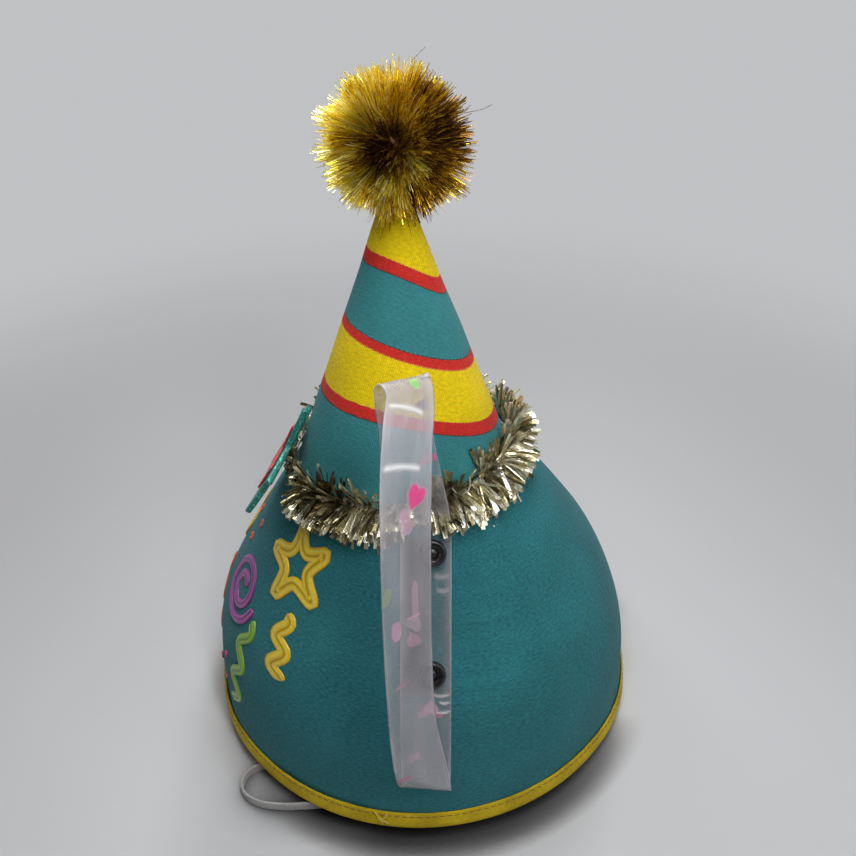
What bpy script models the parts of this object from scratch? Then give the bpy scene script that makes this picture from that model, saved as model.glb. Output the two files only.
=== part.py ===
# Party hat: a foam-backed fabric dome with a striped cone on top, a taped rim,
# a tinsel garland round the foot of the cone, a tinsel ball on its tip, a felt
# star on the front, a clear film loop snapped to one side and a chin elastic.
# Metres, +Z up. The wearer faces -Y and the film loop is on the +X side.

import bpy
import bmesh
import math
from mathutils import Vector

# Rim and dome
rim_length = 0.200            # front to back
rim_width = 0.1946            # side to side
rim_egg = 0.028               # the front half is this share wider than an ellipse
side_lift = 0.0070            # the two sides of the rim stand this far off the floor
side_lift_skew = 0.15         # more lift towards the front, less towards the back
flat_share = 0.20             # share of the half width, front and back, that lies flat
lift_share = 0.50             # share of the half width over which the rim rises
dome_height = 0.1351          # floor to the seam under the cone
dome_wall = 0.0030
dome_top_narrowing = 0.938    # width to length of the top, against that of the rim
seam_slope = 0.1165           # the seam plane rises towards the back
seam_length = 0.0878          # front to back of the seam
seam_forward = 0.0097         # the seam lies this far in front of the rim's middle
seam_land = 0.0040            # width of the dome's top edge, where the cone stands
# Share of the height, and share of the rim's half length, down the dome's outline
dome_outline = [(0.0, 1.0), (0.10, 0.987), (0.22, 0.975), (0.36, 0.939), (0.50, 0.868),
                (0.64, 0.757), (0.78, 0.641), (0.90, 0.530), (1.0, seam_length / rim_length)]

# Cone
cone_height = 0.1223           # from the seam to where its sides would meet
cone_top = dome_height + cone_height
cone_top_forward = 0.0098
cone_wall = 0.0025
cone_tip_radius = 0.0020
cone_tip_rise = 0.0016         # of the rounded tip
# Depth under the cone's point, at its axis, and slope towards the back, of each edge of colour
stripe_edges = [(0.0342, -0.37), (0.0394, -0.37), (0.0636, -0.30),
                (0.0674, -0.30), (0.0884, -0.17), (0.0936, -0.17)]

# Tape over the rim's edge
tape_thickness = 0.0009
tape_height = 0.0092
tape_inner_share = 0.85       # height of its inner leg, against the outer one
gap = 0.0003                  # left between pieces that touch

# Garland
garland_wire_radius = 0.0011
garland_off_seam = 0.0012     # height of the wire above the seam
garland_reach = 0.0115        # length of a foil strip
garland_reach_pressed = 0.0050    # length under the film loop
garland_press_angle = 8.0         # degrees round the hat, the middle of the film
garland_press_half = 18.0         # degrees to each side of it
garland_press_edge = 8.0          # degrees over which the strips grow long again
garland_short_share = 0.66    # short strips, against long ones
garland_fan = (100.0, -42.0)  # degrees from straight out: up the cone, down the dome
garland_stations = 84

# Tinsel ball
ball_radius = 0.0265
ball_short_share = 0.84
ball_rise = 0.0056            # its middle lies above the point of the cone
ball_clear = 0.0001           # more than the gap, round the flat-sided cone

# Star
star_radius = 0.029
star_waist = 0.46             # inner corners, against the points
star_round = 0.0028
star_backing_thickness = 0.0025
star_face_thickness = 0.0008
star_face_share = 0.62        # size of the upper layer, against the backing
star_lean = 29.0              # degrees, the top leans back along the cone
star_yaw = 11.0               # degrees, the face turns away from the film loop
star_bow = 0.0020             # the points bend outwards
star_aside = 0.0150           # middle of the star, towards the film loop
star_ahead = 0.0026           # in front of the seam's front
star_above = 0.0100           # above the seam's front

# Clear film loop and its two snaps
film_width = 0.020
film_thickness = 0.0005
film_step = 0.0040            # from one cross-line of the mesh to the next
film_past_snap = 0.0060       # each end runs this far past a snap
film_y = 0.0010               # middle of the film at the snaps
film_leaves = 0.0831          # under the seam, where the long strand leaves the dome
film_rise_share = 0.84        # rise of the dome's face for each step along it
film_landed = 0.0025          # under the upper end, where the second layer lies flat
# Over the upper end, and in layers off the dome, where the long strand comes down
film_landing = [(0.0040, 4), (0.0010, 2)]
snap_y = 0.0034
upper_snap_depth = 0.0147     # under the seam
lower_snap_depth = 0.0537
snap_heights = (dome_height - upper_snap_depth, dome_height - lower_snap_depth)
snap_hole = 0.0042
hole_reach = 0.010            # of the cutter, to each side of the dome's face
snap_socket_diameter = 0.0106
snap_socket_height = 0.0028
snap_socket_seat = 0.0003     # the film bows a little under the socket
snap_recess = 0.0010
snap_edge = 0.0004            # its rounded edges
snap_ring = 0.0016            # width of the raised ring round the recess
snap_lip = 0.0006             # width of the lip round the hole
snap_post_diameter = 0.0036
snap_cap_diameter = 0.0118
snap_cap_thickness = 0.0012
snap_cap_seat = 0.0008        # the flat cap bridges the hollow of the wall
# Middle of the film off the dome: out from the face of the hat at that height, place
# front to back, height over the seam, and the turn of its width away from +Y in degrees
film_route = [
    (0.0009, 0.0010, -0.0921, 0), (0.0020, 0.0010, -0.0966, 0), (0.0043, 0.0010, -0.0985, 0),
    (0.0072, 0.0010, -0.0966, 2), (0.0097, 0.0008, -0.0921, 5), (0.0164, -0.0005, -0.0771, 20),
    (0.0293, -0.0026, -0.0551, 35), (0.0454, -0.0038, -0.0301, 40), (0.0607, -0.0044, -0.0051, 40),
    (0.0655, -0.0047, 0.0199, 40), (0.0661, -0.0047, 0.0449, 41), (0.0612, -0.0042, 0.0619, 42),
    (0.0560, -0.0032, 0.0709, 42), (0.0544, -0.0036, 0.0747, 42), (0.0530, -0.0050, 0.0765, 42),
    (0.0504, -0.0066, 0.0747, 42), (0.0478, -0.0070, 0.0705, 42), (0.0411, -0.0064, 0.0599, 40),
    (0.0335, -0.0056, 0.0469, 33), (0.0259, -0.0042, 0.0329, 22), (0.0187, -0.0024, 0.0199, 10),
    (0.0126, -0.0006, 0.0089, 3), (0.0086, 0.0006, -0.0001, 0)]

# Chin elastic, a flat 5 mm band on edge
elastic_width = 0.0050
elastic_clear = 0.0004        # its lower edge over the floor
elastic_rest = elastic_width / 2 + elastic_clear
elastic_route = [
    (0.0885, 0.0080, 0.0150), (0.0868, -0.0010, 0.0110), (0.0855, -0.0120, 0.0060),
    (0.0848, -0.0240, elastic_rest), (0.0850, -0.0370, elastic_rest),
    (0.0860, -0.0500, elastic_rest), (0.0864, -0.0620, elastic_rest),
    (0.0846, -0.0730, elastic_rest), (0.0790, -0.0800, elastic_rest),
    (0.0715, -0.0795, elastic_rest), (0.0668, -0.0725, elastic_rest),
    (0.0650, -0.0610, elastic_rest), (0.0590, -0.0460, elastic_rest),
    (0.0460, -0.0300, elastic_rest), (0.0270, -0.0150, elastic_rest),
    (0.0040, -0.0040, elastic_rest), (-0.0200, 0.0020, elastic_rest),
    (-0.0440, 0.0040, elastic_rest), (-0.0640, 0.0040, 0.0040),
    (-0.0790, 0.0030, 0.0085), (-0.0885, 0.0020, 0.0150)]

# Faces round and up the round pieces
dome_segments = 56
dome_shares = [0.0, 0.07, 0.16, 0.26, 0.37, 0.48, 0.59, 0.70, 0.80, 0.89, 1.0]
cone_shares = [0.0, 0.35, 0.70]
cone_inner_shares = [0.0, 0.5, 0.93]
cone_segments = 48
small_segments = 16

colours = {
    "teal": (0.030, 0.160, 0.175), "yellow": (0.620, 0.440, 0.015), "red": (0.540, 0.030, 0.025),
    "foil": (0.560, 0.520, 0.330), "gold": (0.560, 0.330, 0.030), "wire": (0.350, 0.350, 0.340),
    "star_green": (0.010, 0.260, 0.200), "film": (0.700, 0.700, 0.720), "black": (0.010, 0.010, 0.011),
    "white": (0.700, 0.690, 0.680), "tape": (0.470, 0.370, 0.020)}


def clear_scene():
    for item in list(bpy.data.objects):
        bpy.data.objects.remove(item, do_unlink=True)


def make_material(name, roughness=0.8, metallic=0.0, see_through=0.0):
    material = bpy.data.materials.new(name)
    material.use_nodes = True
    shader = material.node_tree.nodes["Principled BSDF"]
    shader.inputs["Base Color"].default_value = (*colours[name], 1.0)
    shader.inputs["Roughness"].default_value = roughness
    shader.inputs["Metallic"].default_value = metallic
    shader.inputs["Transmission Weight"].default_value = see_through
    return material


def catmull(before, start, end, after, share):
    a = 2.0 * start
    b = end - before
    c = 2.0 * before - 5.0 * start + 4.0 * end - after
    d = 3.0 * start - before - 3.0 * end + after
    return 0.5 * (a + b * share + c * share ** 2 + d * share ** 3)


def read_outline(points, place):
    # A smooth value between chosen (place, value) points
    last = len(points) - 2
    index = 0
    while index < last and place > points[index + 1][0]:
        index += 1
    low = points[index]
    high = points[index + 1]
    share = (place - low[0]) / (high[0] - low[0])
    step = high[0] - low[0]
    before = points[max(index - 1, 0)]
    after = points[min(index + 2, last + 1)]
    slope_low = (high[1] - before[1]) / (high[0] - before[0])
    slope_high = (after[1] - low[1]) / (after[0] - low[0])
    rise = 3 * share ** 2 - 2 * share ** 3
    value = low[1] + (high[1] - low[1]) * rise
    value += step * slope_low * (share - 2 * share ** 2 + share ** 3)
    value += step * slope_high * (share ** 3 - share ** 2)
    return value


def smooth_route(points, step):
    # Evenly spaced points on a smooth curve through chosen ones
    dense = []
    for index in range(len(points) - 1):
        before = points[max(index - 1, 0)]
        after = points[min(index + 2, len(points) - 1)]
        for part in range(12):
            dense.append(catmull(before, points[index], points[index + 1], after, part / 12))
    dense.append(points[-1])
    lengths = [0.0]
    for index in range(1, len(dense)):
        lengths.append(lengths[-1] + (dense[index].to_3d() - dense[index - 1].to_3d()).length)
    count = max(2, round(lengths[-1] / step))
    route = []
    index = 0
    for number in range(count + 1):
        wanted = lengths[-1] * number / count
        while index < len(dense) - 2 and lengths[index + 1] < wanted:
            index += 1
        share = (wanted - lengths[index]) / (lengths[index + 1] - lengths[index])
        route.append(dense[index].lerp(dense[index + 1], share))
    return route


def add_object(name, mesh, materials):
    item = bpy.data.objects.new(name, mesh)
    bpy.context.scene.collection.objects.link(item)
    for material in materials:
        mesh.materials.append(material)
    return item


def finish_mesh(name, work, materials, smooth_angle=35.0):
    bmesh.ops.recalc_face_normals(work, faces=work.faces[:])
    mesh = bpy.data.meshes.new(name)
    work.to_mesh(mesh)
    work.free()
    mesh.shade_smooth()
    mesh.set_sharp_from_angle(angle=math.radians(smooth_angle))
    return add_object(name, mesh, materials)


def bridge_rings(work, rings, closed=False, caps=False):
    # Each ring is a list of points round the piece; neighbours are joined with quads
    made = [[work.verts.new(point) for point in ring] for ring in rings]
    pairs = list(zip(made, made[1:]))
    if closed:
        pairs.append((made[-1], made[0]))
    for low, high in pairs:
        for index in range(len(low)):
            after = (index + 1) % len(low)
            work.faces.new((low[index], low[after], high[after], high[index]))
    if caps:
        work.faces.new(made[0])
        work.faces.new(made[-1])
    return made


def rim_lift(angle):
    # Height of the rim's lower edge over the floor
    across = abs(math.cos(angle))
    share = min(max((across - flat_share) / lift_share, 0.0), 1.0)
    rise = share * share * (3 - 2 * share)
    return side_lift * rise * (1 - side_lift_skew * math.sin(angle))


def dome_point(angle, share):
    # angle 0 is the +X side and 90 degrees the back; share runs from the rim to the seam
    half_length = rim_length / 2 * read_outline(dome_outline, share)
    narrow = rim_width / rim_length * (1 - (1 - dome_top_narrowing) * share ** 1.5)
    egg = 1 - rim_egg * (1 - share) * math.sin(angle)
    x = half_length * narrow * egg * math.cos(angle)
    y = half_length * math.sin(angle) - seam_forward * share ** 1.3
    low = rim_lift(angle) + tape_thickness + gap
    high = dome_height + seam_slope * half_length * math.sin(angle)
    return Vector((x, y, low * (1 - share) + high * share))


def dome_normal(angle, share):
    small = 0.01
    up = dome_point(angle, min(share + small, 1.0)) - dome_point(angle, max(share - small, 0.0))
    round_step = dome_point(angle + small, share) - dome_point(angle - small, share)
    return round_step.cross(up).normalized()


def seam_point(angle, inset=0.0, rise=0.0):
    edge = dome_point(angle, 1.0)
    middle = Vector((0.0, -seam_forward, dome_height))
    across = edge - middle
    point = middle + across * (1 - inset / across.length)
    return point + Vector((0.0, 0.0, rise))


def dome_at(y, height):
    # The place on the +X side of the dome at a given y and height
    low, high = 0.0, 1.0
    for turn in range(40):
        share = (low + high) / 2
        half_length = rim_length / 2 * read_outline(dome_outline, share)
        angle = math.asin((y + seam_forward * share ** 1.3) / half_length)
        if dome_point(angle, share).z < height:
            low = share
        else:
            high = share
    return angle, share


def full_turn(count, start=0.0):
    return [start + math.tau * index / count for index in range(count)]


def side_reach(height):
    # How far the face of the hat stands out on the film's side at a height
    seam = seam_point(0.0)
    if height < seam.z:
        angle, share = dome_at(film_y, height)
        return dome_point(angle, share).x
    return seam.x * (cone_top - height) / (cone_top - seam.z)


def snap_frame(height):
    # Foot on the dome's outer face, and the direction out of it
    angle, share = dome_at(snap_y, height)
    return dome_point(angle, share), dome_normal(angle, share)


def turned(name, foot, out, profile, materials, segments=small_segments, bored=False):
    # A turned piece: profile points are (radius, height along its axis)
    side = out.orthogonal().normalized()
    third = out.cross(side)
    rings = []
    for radius, height in profile:
        ring = []
        for angle in full_turn(segments):
            ring.append(foot + out * height + (side * math.cos(angle) + third * math.sin(angle)) * radius)
        rings.append(ring)
    work = bmesh.new()
    bridge_rings(work, rings, closed=bored, caps=not bored)
    return finish_mesh(name, work, materials)


def cut_hole(item, height, cutter_name):
    foot, out = snap_frame(height)
    radius = snap_hole / 2
    cutter = turned(cutter_name, foot, out, [(radius, -hole_reach), (radius, hole_reach)], [])
    cutter.hide_render = True
    cutter.display_type = "WIRE"
    cut = item.modifiers.new("snap_hole", "BOOLEAN")
    cut.operation = "DIFFERENCE"
    cut.solver = "EXACT"
    cut.object = cutter


def build_dome(materials):
    angles = full_turn(dome_segments)
    outer = [[dome_point(angle, share) for angle in angles] for share in dome_shares]
    inner = []
    for share in dome_shares[:-1]:
        ring = []
        for angle in angles:
            out = dome_normal(angle, share)
            if share == 0.0:
                out = Vector((out.x, out.y, 0.0)).normalized()
            ring.append(dome_point(angle, share) - out * dome_wall)
        inner.append(ring)
    inner.append([seam_point(angle, inset=seam_land) for angle in angles])
    work = bmesh.new()
    bridge_rings(work, outer + inner[::-1], closed=True)
    return finish_mesh("dome_shell", work, materials)


def cone_point(angle, share, inset=0.0):
    # share runs from the seam to the point where the sides would meet
    foot = seam_point(angle, inset=inset, rise=gap)
    lean = math.atan2(seam_length / 2, cone_top - dome_height)
    top = Vector((0.0, -cone_top_forward, cone_top - inset / math.tan(lean)))
    return foot.lerp(top, share)


def stripe_colour(point):
    # 0 teal, 1 red, 2 yellow, from the edges of colour above and below a point
    above = 0
    for depth, slope in stripe_edges:
        if point.z < cone_top - depth + slope * (point.y + seam_forward):
            above += 1
    return (2, 1, 0, 1, 2, 1, 0)[above]


def build_cone(materials):
    angles = full_turn(cone_segments)
    tip_share = 1 - cone_tip_radius / (seam_length / 2)
    land = cone_wall / math.cos(math.atan2(seam_length / 2, cone_top - dome_height))
    work = bmesh.new()
    outer = [[cone_point(angle, share) for angle in angles] for share in (*cone_shares, tip_share)]
    made = bridge_rings(work, outer)
    crown = work.verts.new(Vector((0.0, -cone_top_forward, made[-1][0].co.z + cone_tip_rise)))
    for index in range(cone_segments):
        after = (index + 1) % cone_segments
        work.faces.new((made[-1][index], made[-1][after], crown))
    for depth, slope in stripe_edges:
        bmesh.ops.bisect_plane(
            work, geom=work.verts[:] + work.edges[:] + work.faces[:], dist=1e-6,
            plane_co=(0.0, -seam_forward, cone_top - depth), plane_no=Vector((0.0, -slope, 1.0)).normalized())
    for face in work.faces:
        face.material_index = stripe_colour(face.calc_center_median())
    inner = [[cone_point(angle, share, land) for angle in angles] for share in cone_inner_shares]
    under = bridge_rings(work, inner)
    work.faces.new(under[-1])
    for index in range(cone_segments):
        after = (index + 1) % cone_segments
        work.faces.new((made[0][index], made[0][after], under[0][after], under[0][index]))
    return finish_mesh("cone_shell", work, materials)


def build_tape(materials):
    # A U of tape over the rim's edge; places run out from the dome's outer face and up
    outside = gap + tape_thickness
    inside = -dome_wall - gap
    back = inside - tape_thickness
    low = tape_thickness
    section = [(outside, 0.0), (outside, tape_height), (gap, tape_height), (gap, low),
               (inside, low), (inside, tape_inner_share * tape_height),
               (back, tape_inner_share * tape_height), (back, 0.0)]
    rings = []
    for angle in full_turn(dome_segments):
        out = dome_normal(angle, 0.0)
        out = Vector((out.x, out.y, 0.0)).normalized()
        foot = dome_point(angle, 0.0)
        foot.z = rim_lift(angle)
        ring = []
        for across, height in section:
            share = max(height - low - gap, 0.0) / (dome_height - rim_lift(angle))
            lean = (dome_point(angle, share) - dome_point(angle, 0.0)).dot(out)
            ring.append(foot + out * (across + lean) + Vector((0.0, 0.0, height)))
        rings.append(ring)
    work = bmesh.new()
    bridge_rings(work, rings, closed=True)
    return finish_mesh("rim_binding", work, materials)


def garland_frame(angle):
    # Middle of the wire, and the level direction out from the cone
    seat = cone_point(angle, garland_off_seam / (cone_top - dome_height))
    out = dome_normal(angle, 1.0)
    out = Vector((out.x, out.y, 0.0)).normalized()
    return seat + out * (garland_wire_radius + 2 * gap), out


def garland_length(angle, place, middle, aim):
    # Strips are pressed short under the film loop, and end at the back of the star
    away = abs(math.degrees(math.remainder(angle, math.tau)) - garland_press_angle)
    share = min(max((away - garland_press_half) / garland_press_edge, 0.0), 1.0)
    length = garland_reach_pressed + (garland_reach - garland_reach_pressed) * share
    if (place[0] + place[1]) % 2 == 1:
        length *= garland_short_share
    star, across, up, out = star_frame()
    if aim.dot(out) > 0.01:
        room = (star - middle).dot(out) / aim.dot(out)
        if (middle + aim * room - star).length < star_radius:
            length = min(length, room - 2 * gap)
    return length


def build_garland(materials):
    bore = garland_wire_radius + gap
    top, bottom = garland_fan
    fan = [top + (bottom - top) * index / 6 for index in range(7)]
    rings = []
    for station, angle in enumerate(full_turn(garland_stations)):
        middle, out = garland_frame(angle)
        aims = []
        for turn in fan:
            aims.append(out * math.cos(math.radians(turn)) + Vector((0, 0, 1)) * math.sin(math.radians(turn)))
        ring = []
        for place, aim in enumerate(aims):
            ring.append(middle + aim * garland_length(angle, (station, place), middle, aim))
        ring += [middle + aim * bore for aim in aims[::-2]]
        rings.append(ring)
    work = bmesh.new()
    bridge_rings(work, rings, closed=True)
    finish_mesh("garland_fringe", work, materials, 20.0)


def build_garland_wire(materials):
    rings = []
    for angle in full_turn(garland_stations // 2):
        middle, out = garland_frame(angle)
        ring = []
        for turn in full_turn(6):
            ring.append(middle + (out * math.cos(turn) + Vector((0, 0, 1)) * math.sin(turn)) * garland_wire_radius)
        rings.append(ring)
    work = bmesh.new()
    bridge_rings(work, rings, closed=True)
    finish_mesh("garland_core", work, materials)


def build_ball(materials):
    middle = Vector((0.0, -cone_top_forward, cone_top + ball_rise))
    work = bmesh.new()
    bmesh.ops.create_icosphere(work, subdivisions=4, radius=ball_radius)
    coarse = bmesh.new()
    bmesh.ops.create_icosphere(coarse, subdivisions=3, radius=ball_radius)
    tips = {tuple(round(value, 6) for value in vert.co) for vert in coarse.verts}
    coarse.free()
    for vert in work.verts:
        if tuple(round(value, 6) for value in vert.co) not in tips:
            vert.co *= ball_short_share
    bmesh.ops.translate(work, verts=work.verts[:], vec=middle)
    ball = finish_mesh("pompom", work, materials, 20.0)
    lean = math.atan2(seam_length / 2, cone_top - dome_height)
    low = 1.3 * ball_radius
    clear = gap / math.cos(lean) + ball_clear
    profile = [(low * math.tan(lean) + clear, -low), (clear + cone_tip_radius, -cone_tip_radius / math.tan(lean)),
               (clear + 0.2 * cone_tip_radius, 0.0)]
    top = Vector((0.0, -cone_top_forward, cone_top))
    cutter = turned("pompom_cutter", top, Vector((0.0, 0.0, 1.0)), profile, [], segments=24)
    cutter.hide_render = True
    cutter.display_type = "WIRE"
    cut = ball.modifiers.new("tip_recess", "BOOLEAN")
    cut.operation = "DIFFERENCE"
    cut.solver = "EXACT"
    cut.object = cutter


def star_frame():
    yaw = math.radians(star_yaw)
    lean = math.radians(star_lean)
    across = Vector((math.cos(yaw), -math.sin(yaw), 0.0))
    level_out = Vector((-math.sin(yaw), -math.cos(yaw), 0.0))
    out = level_out * math.cos(lean) + Vector((0.0, 0.0, math.sin(lean)))
    up = Vector((0.0, 0.0, math.cos(lean))) - level_out * math.sin(lean)
    front = seam_point(-math.pi / 2)
    middle = front + Vector((star_aside, -star_ahead, star_above))
    return middle, across, up, out


def build_star_layer(name, radius, low, thickness, materials):
    # A five-pointed star with rounded points, cut across in bands so that it can bend
    work = bmesh.new()
    verts = []
    for point in range(5):
        aim = math.pi / 2 + math.tau * point / 5
        for turn in (-0.7, 0.0, 0.7):
            round_aim = aim + turn
            at = (radius - star_round) * Vector((math.cos(aim), math.sin(aim)))
            at += star_round * Vector((math.cos(round_aim), math.sin(round_aim)))
            verts.append(work.verts.new((at.x, at.y, 0.0)))
        waist = aim + math.pi / 5
        inner = radius * star_waist
        verts.append(work.verts.new((inner * math.cos(waist), inner * math.sin(waist), 0.0)))
    face = work.faces.new(verts)
    made = bmesh.ops.extrude_face_region(work, geom=[face])
    lifted = [item for item in made["geom"] if isinstance(item, bmesh.types.BMVert)]
    bmesh.ops.translate(work, verts=lifted, vec=(0.0, 0.0, thickness))
    for band in (-0.5, -0.25, 0.0, 0.3, 0.6):
        bmesh.ops.bisect_plane(
            work, geom=work.verts[:] + work.edges[:] + work.faces[:], dist=1e-6,
            plane_co=(0.0, band * radius, 0.0), plane_no=(0.0, 1.0, 0.0))
    middle, across, up, out = star_frame()
    for vert in work.verts:
        bent = low + vert.co.z + star_bow * (vert.co.y / star_radius) ** 2
        vert.co = middle + across * vert.co.x + up * vert.co.y + out * bent
    return finish_mesh(name, work, materials, 50.0)


def film_stations():
    # Middle points and width directions from one end of the film to the other
    stations = []

    def on_dome(height, layer):
        angle, share = dome_at(film_y, height)
        out = dome_normal(angle, share)
        up = dome_point(angle, share + 0.01) - dome_point(angle, share - 0.01)
        across = up.cross(out).normalized()
        if across.y < 0:
            across = -across
        offset = (layer + 1) * gap + (layer + 0.5) * film_thickness
        return dome_point(angle, share) + out * offset, across

    top, bottom = snap_heights
    first = top + film_rise_share * film_past_snap
    last = bottom - film_rise_share * film_past_snap
    leaves = dome_height - film_leaves
    for part in range(9):
        stations.append(on_dome(first + (leaves - first) * part / 8, 0))
    for off, y, rise, turn in film_route:
        yaw = math.radians(turn)
        height = dome_height + rise
        middle = Vector((side_reach(height) + off, y, height))
        stations.append((middle, Vector((-math.sin(yaw), math.cos(yaw), 0.0))))
    for rise, layer in film_landing:
        stations.append(on_dome(first + rise, layer))
    for part in range(8):
        stations.append(on_dome(first - film_landed + (last - first) * part / 7, 1))
    return stations


def build_film(materials):
    stations = film_stations()
    middles = smooth_route([Vector((*point, index)) for index, (point, across) in enumerate(stations)], film_step)
    rings = []
    for number, middle in enumerate(middles):
        before = middles[max(number - 1, 0)].to_3d()
        after = middles[min(number + 1, len(middles) - 1)].to_3d()
        along = (after - before).normalized()
        place = min(max(middle.w, 0.0), len(stations) - 1.0)
        index = min(int(place), len(stations) - 2)
        across = stations[index][1].lerp(stations[index + 1][1], place - index)
        across = (across - along * across.dot(along)).normalized()
        face = along.cross(across)
        half = across * film_width / 2
        skin = face * film_thickness / 2
        point = middle.to_3d()
        rings.append([point - half - skin, point + half - skin, point + half + skin, point - half + skin])
    work = bmesh.new()
    made = [[work.verts.new(point) for point in ring] for ring in rings]
    for low, high in zip(made, made[1:]):
        for index in range(4):
            # Both sides of the thin film are cut along the same diagonal
            after = (index + 1) % 4
            corners = (low[index], low[after], high[after], high[index])
            if index < 2:
                work.faces.new((corners[0], corners[1], corners[2]))
                work.faces.new((corners[0], corners[2], corners[3]))
            else:
                work.faces.new((corners[0], corners[1], corners[3]))
                work.faces.new((corners[1], corners[2], corners[3]))
    work.faces.new(made[0])
    work.faces.new(made[-1])
    return finish_mesh("clear_strap", work, materials)


def build_snap(number, height, materials):
    foot, out = snap_frame(height)
    base = 3 * gap + 2 * film_thickness + snap_socket_seat
    top = base + snap_socket_height
    floor = top - snap_recess
    lip = top - snap_recess / 2
    radius = snap_socket_diameter / 2
    bore = snap_hole / 2
    edge = snap_edge
    profile = [(bore, base), (radius - edge, base), (radius, base + edge), (radius, top - 2 * edge),
               (radius - 2 * edge, top), (radius - snap_ring, top), (radius - snap_ring - edge, floor),
               (bore + snap_lip + edge / 2, floor), (bore + snap_lip, lip), (bore, lip)]
    turned("snap_socket_" + number, foot, out, profile, materials, bored=True)
    post = snap_post_diameter / 2
    cap = snap_cap_diameter / 2
    seat = -dome_wall - snap_cap_seat
    end = floor + edge / 2
    profile = [(0.6 * cap, seat - snap_cap_thickness), (cap, seat - snap_cap_thickness / 2), (cap, seat),
               (post, seat), (post, end - edge), (post - edge, end)]
    turned("snap_post_" + number, foot, out, profile, materials)


def build_elastic(materials):
    points = smooth_route([Vector(point) for point in elastic_route], elastic_width)
    curve = bpy.data.curves.new("chin_elastic", "CURVE")
    curve.dimensions = "3D"
    curve.bevel_depth = elastic_width / 2
    curve.bevel_resolution = 2
    curve.use_fill_caps = True
    spline = curve.splines.new("POLY")
    spline.points.add(len(points) - 1)
    for place, point in zip(spline.points, points):
        place.co = (*point, 1.0)
    return add_object("chin_elastic", curve, materials)


def centre_on_floor():
    # The floor point under the middle of the solids, the elastic left out, becomes the origin
    bpy.context.view_layer.update()
    corners = []
    for item in bpy.data.objects:
        if item.type == "MESH" and not item.hide_render:
            corners += [Vector(corner) for corner in item.bound_box]
    middle_x = (min(corner.x for corner in corners) + max(corner.x for corner in corners)) / 2
    middle_y = (min(corner.y for corner in corners) + max(corner.y for corner in corners)) / 2
    floor_point = bpy.data.objects.new("hat_origin", None)
    bpy.context.scene.collection.objects.link(floor_point)
    floor_point.location = (-middle_x, -middle_y, 0.0)
    for item in bpy.data.objects:
        if item is not floor_point:
            item.parent = floor_point


def main():
    clear_scene()
    teal = make_material("teal", 0.85)
    red = make_material("red", 0.8)
    yellow = make_material("yellow", 0.8)
    foil = make_material("foil", 0.3, 1.0)
    gold = make_material("gold", 0.3, 1.0)
    wire = make_material("wire", 0.4, 1.0)
    star_green = make_material("star_green", 0.6)
    film = make_material("film", 0.15, 0.0, 0.8)
    black = make_material("black", 0.3)
    white = make_material("white", 0.8)
    tape = make_material("tape", 0.8)

    dome = build_dome([teal])
    build_cone([teal, red, yellow])
    build_tape([tape])
    build_garland([foil])
    build_garland_wire([wire])
    build_ball([gold])
    build_star_layer("star_backing", star_radius, 0.0, star_backing_thickness, [star_green])
    build_star_layer("star_face", star_radius * star_face_share, star_backing_thickness + gap,
                     star_face_thickness, [red])
    strap = build_film([film])
    for number, height in zip(("upper", "lower"), snap_heights):
        cut_hole(dome, height, "dome_hole_cutter_" + number)
        cut_hole(strap, height, "film_hole_cutter_" + number)
        build_snap(number, height, [black])
    build_elastic([white])
    centre_on_floor()


main()
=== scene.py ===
# Party hat: a teal fabric dome with a striped cone, a taped rim, tinsel, a star and a clear film loop
import random
from math import asin, atan2, copysign, cos, degrees, exp, pi, radians, remainder, sin, sqrt, tau

import bpy
import bmesh
from mathutils import Matrix, Vector, noise


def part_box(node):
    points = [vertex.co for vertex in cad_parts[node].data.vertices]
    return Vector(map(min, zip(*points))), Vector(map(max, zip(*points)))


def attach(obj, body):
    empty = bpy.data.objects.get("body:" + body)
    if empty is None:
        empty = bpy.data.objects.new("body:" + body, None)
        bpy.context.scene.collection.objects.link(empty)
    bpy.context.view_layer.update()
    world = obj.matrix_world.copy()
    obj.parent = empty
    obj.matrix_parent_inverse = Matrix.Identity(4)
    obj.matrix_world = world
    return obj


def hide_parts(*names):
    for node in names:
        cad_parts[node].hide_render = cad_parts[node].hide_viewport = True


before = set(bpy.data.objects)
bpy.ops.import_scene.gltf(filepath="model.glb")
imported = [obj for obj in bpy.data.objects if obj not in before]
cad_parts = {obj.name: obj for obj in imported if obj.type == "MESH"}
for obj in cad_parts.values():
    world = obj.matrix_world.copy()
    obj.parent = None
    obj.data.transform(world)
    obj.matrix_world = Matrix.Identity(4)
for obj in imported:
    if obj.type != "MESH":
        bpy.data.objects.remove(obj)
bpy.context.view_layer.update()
domeLow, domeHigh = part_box("dome_shell")
hatX = (domeLow.x + domeHigh.x) / 2    # the rim's middle, in the frame
up = Vector((0, 0, 1))
print("frame loaded, rim middle at", round(hatX, 4))

# Camera: the photograph's view, from the film loop's side and above; down is in degrees below level
lens = {"place": (hatX + 0.2907, 0.0019, 0.3555), "down": 36.06, "focal": 36.0, "sensor": 36.0, "near": 0.01}


def addObject(name, data):
    made = bpy.data.objects.new(name, data)
    bpy.context.scene.collection.objects.link(made)
    return made


def makeCamera():
    data = bpy.data.cameras.new("camera")
    data.lens = lens["focal"]
    data.sensor_width = lens["sensor"]
    data.clip_start = lens["near"]
    camera = addObject("camera", data)
    camera.location = lens["place"]
    camera.rotation_euler = (radians(90 - lens["down"]), 0, radians(90))
    bpy.context.scene.camera = camera
    bpy.context.scene.view_settings.view_transform = "Standard"


makeCamera()

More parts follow.
